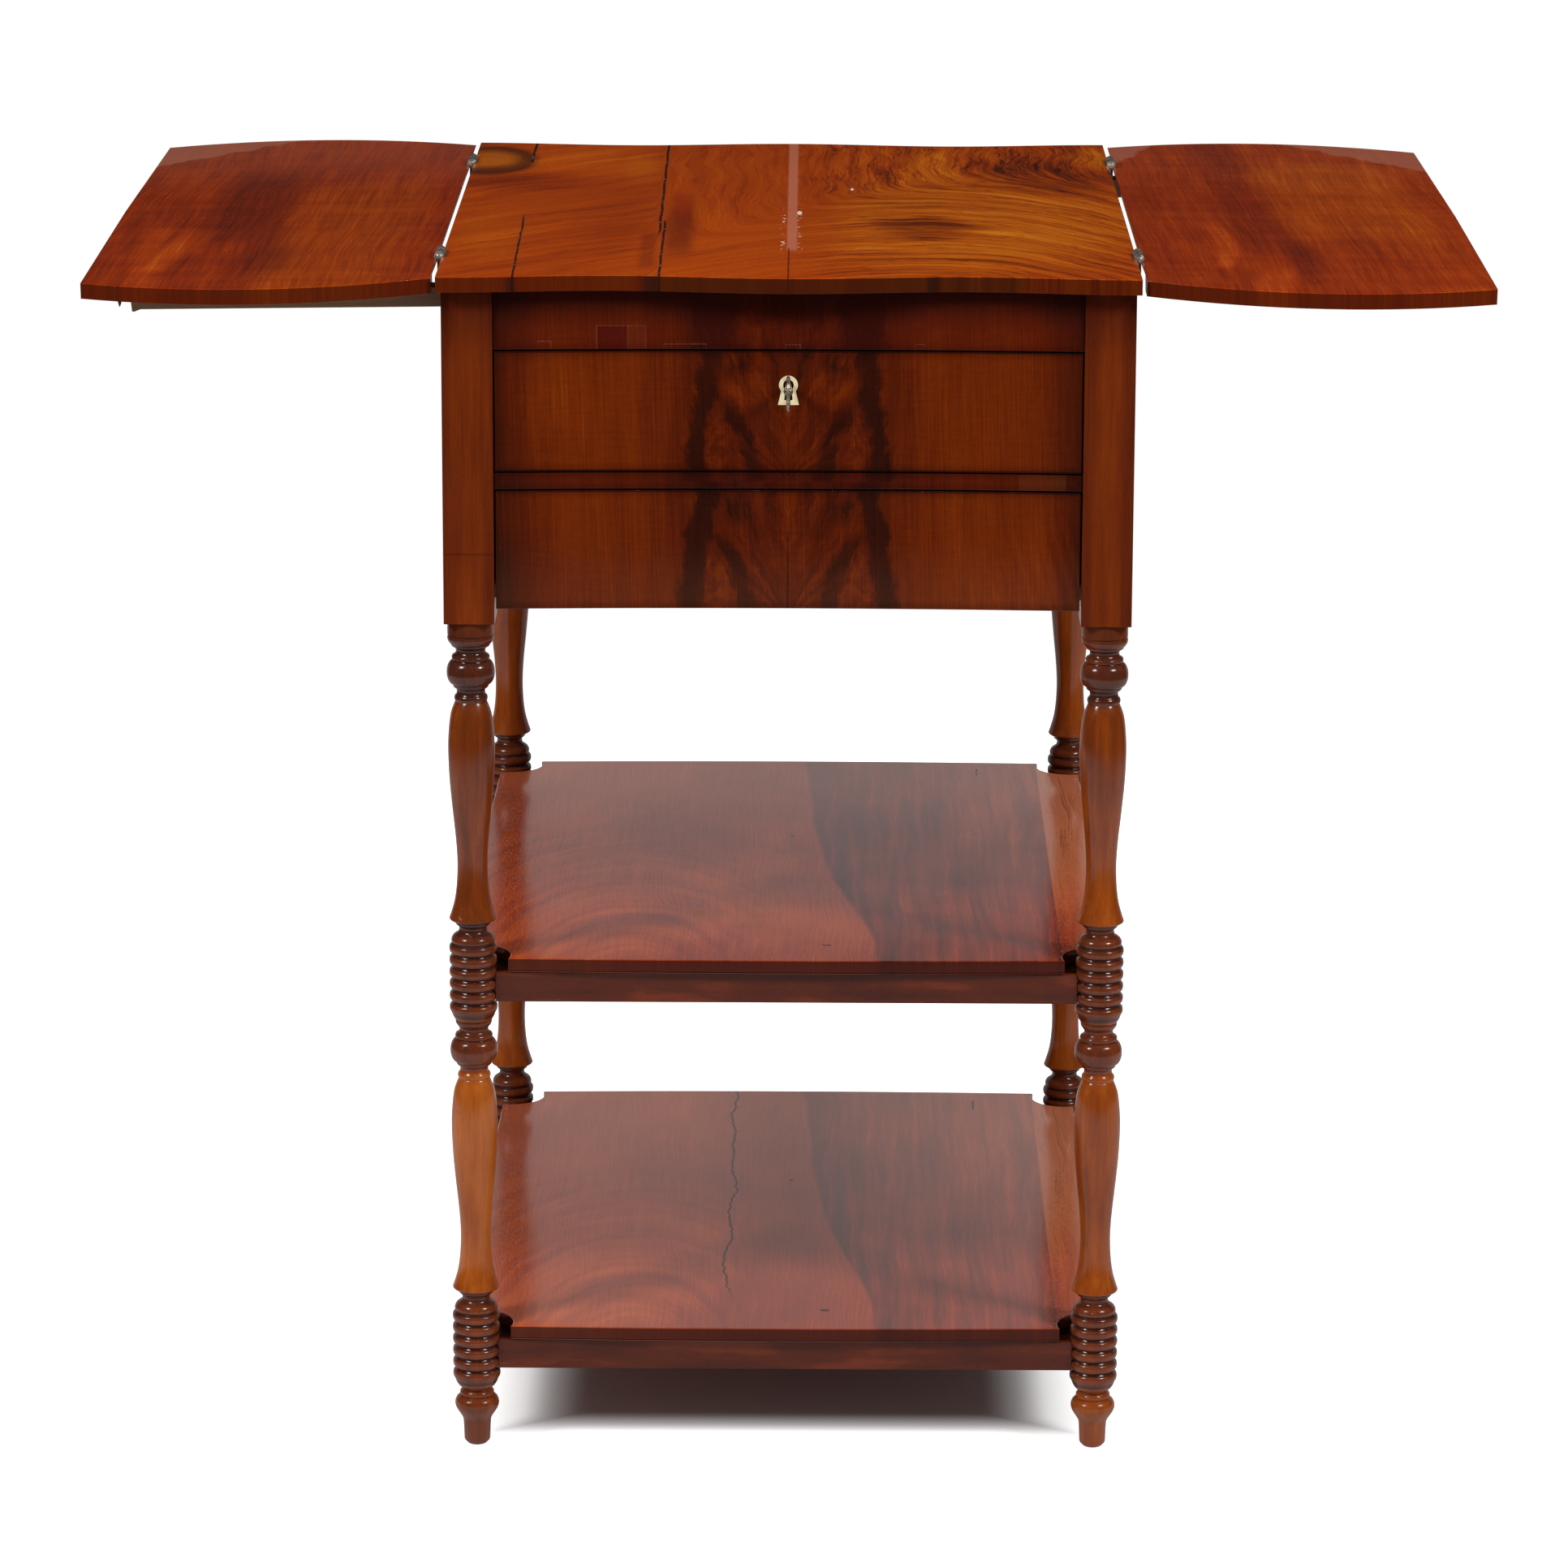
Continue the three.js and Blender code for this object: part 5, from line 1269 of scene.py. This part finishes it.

# %% [markdown]
# ## Corner blocks under the shelves
# The shelves are cut out round the legs, and through the cut one sees the glue blocks that hold the
# rails to each other. They are near-black as painted shade, for the shadow seen through the cut. A
# block is a triangle hollowed to the leg, drawn as a closed line, filled and extruded.

# %% Corner blocks
BLOCK_DEPTH = 10
BLOCK_REACH = 38
BLOCK_TO_RAIL = 6.2
BLOCK_TO_LEG = 15.1
BLOCK_GAP = 0.3  # under the shelf
HOLLOW_STEPS = 6
first = math.asin(BLOCK_TO_RAIL / BLOCK_TO_LEG)
step = (math.pi / 2 - 2 * first) / HOLLOW_STEPS
angles = [first + step * i for i in range(HOLLOW_STEPS + 1)]
hollow = [(BLOCK_TO_LEG * math.cos(a), BLOCK_TO_LEG * math.sin(a)) for a in angles]
plan = [*hollow, (BLOCK_TO_RAIL, BLOCK_REACH), (BLOCK_REACH, BLOCK_TO_RAIL)]
for level, shelf_top in zip(LEVELS, SHELF_TOPS):
    foot = shelf_top - SHELF_THICKNESS - BLOCK_GAP - BLOCK_DEPTH
    for end, side, x, y in LEG_PLACES:
        inward = [(x - math.copysign(u, x), y - math.copysign(v, y)) for u, v in plan]
        corner = drawn(f"{level}_block_{end}_{side}", [Vector((*p, foot)) * MM for p in inward])
        editing(corner)
        bpy.ops.mesh.edge_face_add()
        bpy.ops.mesh.extrude_region_move(TRANSFORM_OT_translate={"value": (0, 0, BLOCK_DEPTH * MM)})
        bpy.ops.mesh.select_all(action="SELECT")
        bpy.ops.mesh.normals_make_consistent(inside=False)
        done_editing()
        # the near-black finish stands for the shade seen through the cut
        corner.data.materials.append(FINISHES["block"])
        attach(corner, "case")
print("corner blocks", len(corner.data.polygons), "faces each")

# %% [markdown]
# ## The key
# A small cabinet key: an oval ring that was forged round, a turned shank with two collars, and a
# bit at the end that throws the bolt. The ring starts as a torus stretched upright, the shank is
# spun like a leg.

# %% Key
key_low, key_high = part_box("key")
BOW_RADIUS = 9
BOW_HALF_HEIGHT = 11.3
BOW_HALF_WIRE = 1.35
KEY_Z = (key_low.z + key_high.z) / 2 / MM
BOW_Y = key_low.y / MM + BOW_RADIUS
BIT_END = key_high.y / MM - 0.3
shank_outline = [(0, 7.2), (1.5, 7.4), (2.1, 7.9), (2.7, 8.6), (2.9, 9.6), (2.7, 10.5), (2.0, 11.0)]
shank_outline += [(1.7, 11.7), (1.9, 12.3), (2.6, 12.7), (2.7, 13.5), (2.4, 14.1), (1.7, 14.5)]
shank_outline += [(1.75, 30), (1.9, 41.1), (1.6, 41.5), (0, 41.5)]

ring = primitive(
    bpy.ops.mesh.primitive_torus_add,
    "ring",
    major_segments=40,
    minor_segments=16,
    major_radius=(BOW_RADIUS - BOW_HALF_WIRE) * MM,
    minor_radius=BOW_HALF_WIRE * MM,
)
stretch = (BOW_HALF_HEIGHT / BOW_RADIUS, 1, 0.9)
reshaped(ring, stretch, math.pi / 2, "Y", Vector((0, BOW_Y, KEY_Z)) * MM)
smooth(ring)
shank = turned("shank", shank_outline, (0, BOW_Y, KEY_Z), "Y", steps=24)
bit = block("bit", (-1, BIT_END - 4, KEY_Z - 8), (1, BIT_END, KEY_Z), 0.3)
key = owned(joined("key_finished", ring, shank, bit), FINISHES["key"], "key")
print("key", len(key.data.polygons), "faces, ring at", BOW_Y, KEY_Z)

# %% [markdown]
# ## Floor and light
# The table stands on a sheet of white paper under two soft boxes, one to each side of the camera,
# which give the pair of small lights on every ball. Past the sheet the floor is dark to the object,
# so polished fronts don't fog over, but it glows white to the camera. A low pale card stands behind
# the table: only reflections see it, and it is what the glossy shelves mirror. The room fills the
# shadows evenly. The glow stops under the table, and the paper there is a little grey, so that the
# shadow stays deep.

# %% Floor
WHITE = (1, 1, 1, 1)
FLOOR_SIZE = 60  # metres
FLOOR_DROP = 0.0003  # metres, so that no foot lies in the floor's plane
PAPER_REACH = (1.5, 1.9)  # metres from the table over which the paper ends
PAPER_COLOUR = (238, 238, 238)
FAR_COLOUR = (30, 30, 30)
SHADOW_SIDES = (125, 215)  # from the middle, where the shadow fades out to each side
SHADOW_ENDS = (180, 236)  # and where it fades out to the front and back
SHADOW_GREY = 0.55
NEAR_GLOW = 0.8  # of the glow, the part that is there close to the table

floor = primitive(bpy.ops.mesh.primitive_plane_add, "floor", size=FLOOR_SIZE)
reshaped(floor, shift=(0, 0, -FLOOR_DROP))
paper = Finish("white_paper")
past = paper.spot(paper.x * MM, paper.y * MM, (0, 0), (1, 1)).rise(*PAPER_REACH)
path = paper.add("LightPath").socket.node
camera_ray = Value(path.outputs["Is Camera Ray"])
paper.paint(PAPER_COLOUR)
paper.paint(FAR_COLOUR, past)
beside = abs(paper.x).rise(*SHADOW_SIDES).most(abs(paper.y).rise(*SHADOW_ENDS))
paper.shade(beside * (1 - SHADOW_GREY) + SHADOW_GREY)
paper.sealed(1.0)
paper.shader.inputs["Specular IOR Level"].default_value = 0.0
paper.shader.inputs["Emission Color"].default_value = WHITE
away = (abs(paper.x) - LEG_X).most(abs(paper.y) - LEG_Y)
open_floor = beside * NEAR_GLOW + away.rise(0, 300) * (1 - NEAR_GLOW)
feed(paper.shader.inputs["Emission Strength"], camera_ray * open_floor)
floor.data.materials.append(paper.material)
print("floor", FLOOR_SIZE, "m wide")

# %% Card
CARD_PLACE = (0, 0.95, 0.34)
CARD_SIZE = (3.0, 0.68)
CARD_GLOW = 0.42

card = primitive(bpy.ops.mesh.primitive_plane_add, "pale_card", size=1)
reshaped(card, (*CARD_SIZE, 1), math.pi / 2, "X", CARD_PLACE)
pale = Finish("pale_card", Emission_Color=WHITE, Emission_Strength=CARD_GLOW)
pale.paint((0, 0, 0))
card.data.materials.append(pale.sealed(1.0))
card.visible_camera = False
card.visible_diffuse = False
card.visible_shadow = False
print("card", CARD_SIZE, "m at", CARD_PLACE)

# %% Room
ROOM_LIGHT = 0.36
ROOM_GLOSS = 0.012  # what polish sees of the room

world = bpy.data.worlds.new("room")
world.use_nodes = True
bpy.context.scene.world = world
room = world.node_tree.nodes["Background"]
path = world.node_tree.nodes.new("ShaderNodeLightPath")
seen = Value(path.outputs["Is Camera Ray"])
filled = Value(path.outputs["Is Glossy Ray"]) * (ROOM_GLOSS - ROOM_LIGHT) + ROOM_LIGHT
feed(room.inputs["Strength"], filled * (1 - seen) + seen)
feed(room.inputs["Color"], WHITE)
print("room light", ROOM_LIGHT)

# %% Soft boxes
BOX_DISTANCE = 2.7
BOX_SIZE = 0.55
BOX_POWER = 42
BOX_AZIMUTH = math.radians(51)  # to each side of the camera
BOX_RISE = math.radians(35)  # above level
BOX_AIM = Vector((0, 0, 0.5))

for side in (-1, 1):
    bpy.ops.object.light_add(type="AREA")
    box = bpy.context.object
    box.name = "softbox_" + ("left" if side < 0 else "right")
    box.data.shape = "RECTANGLE"
    box.data.size = BOX_SIZE
    box.data.size_y = BOX_SIZE
    box.data.energy = BOX_POWER
    flat = BOX_DISTANCE * math.cos(BOX_RISE)
    reach = (side * flat * math.sin(BOX_AZIMUTH), -flat * math.cos(BOX_AZIMUTH))
    away = Vector((*reach, BOX_DISTANCE * math.sin(BOX_RISE)))
    box.location = BOX_AIM + away
    box.rotation_euler = (-away).to_track_quat("-Z", "Y").to_euler()
print("softboxes at", tuple(box.location))
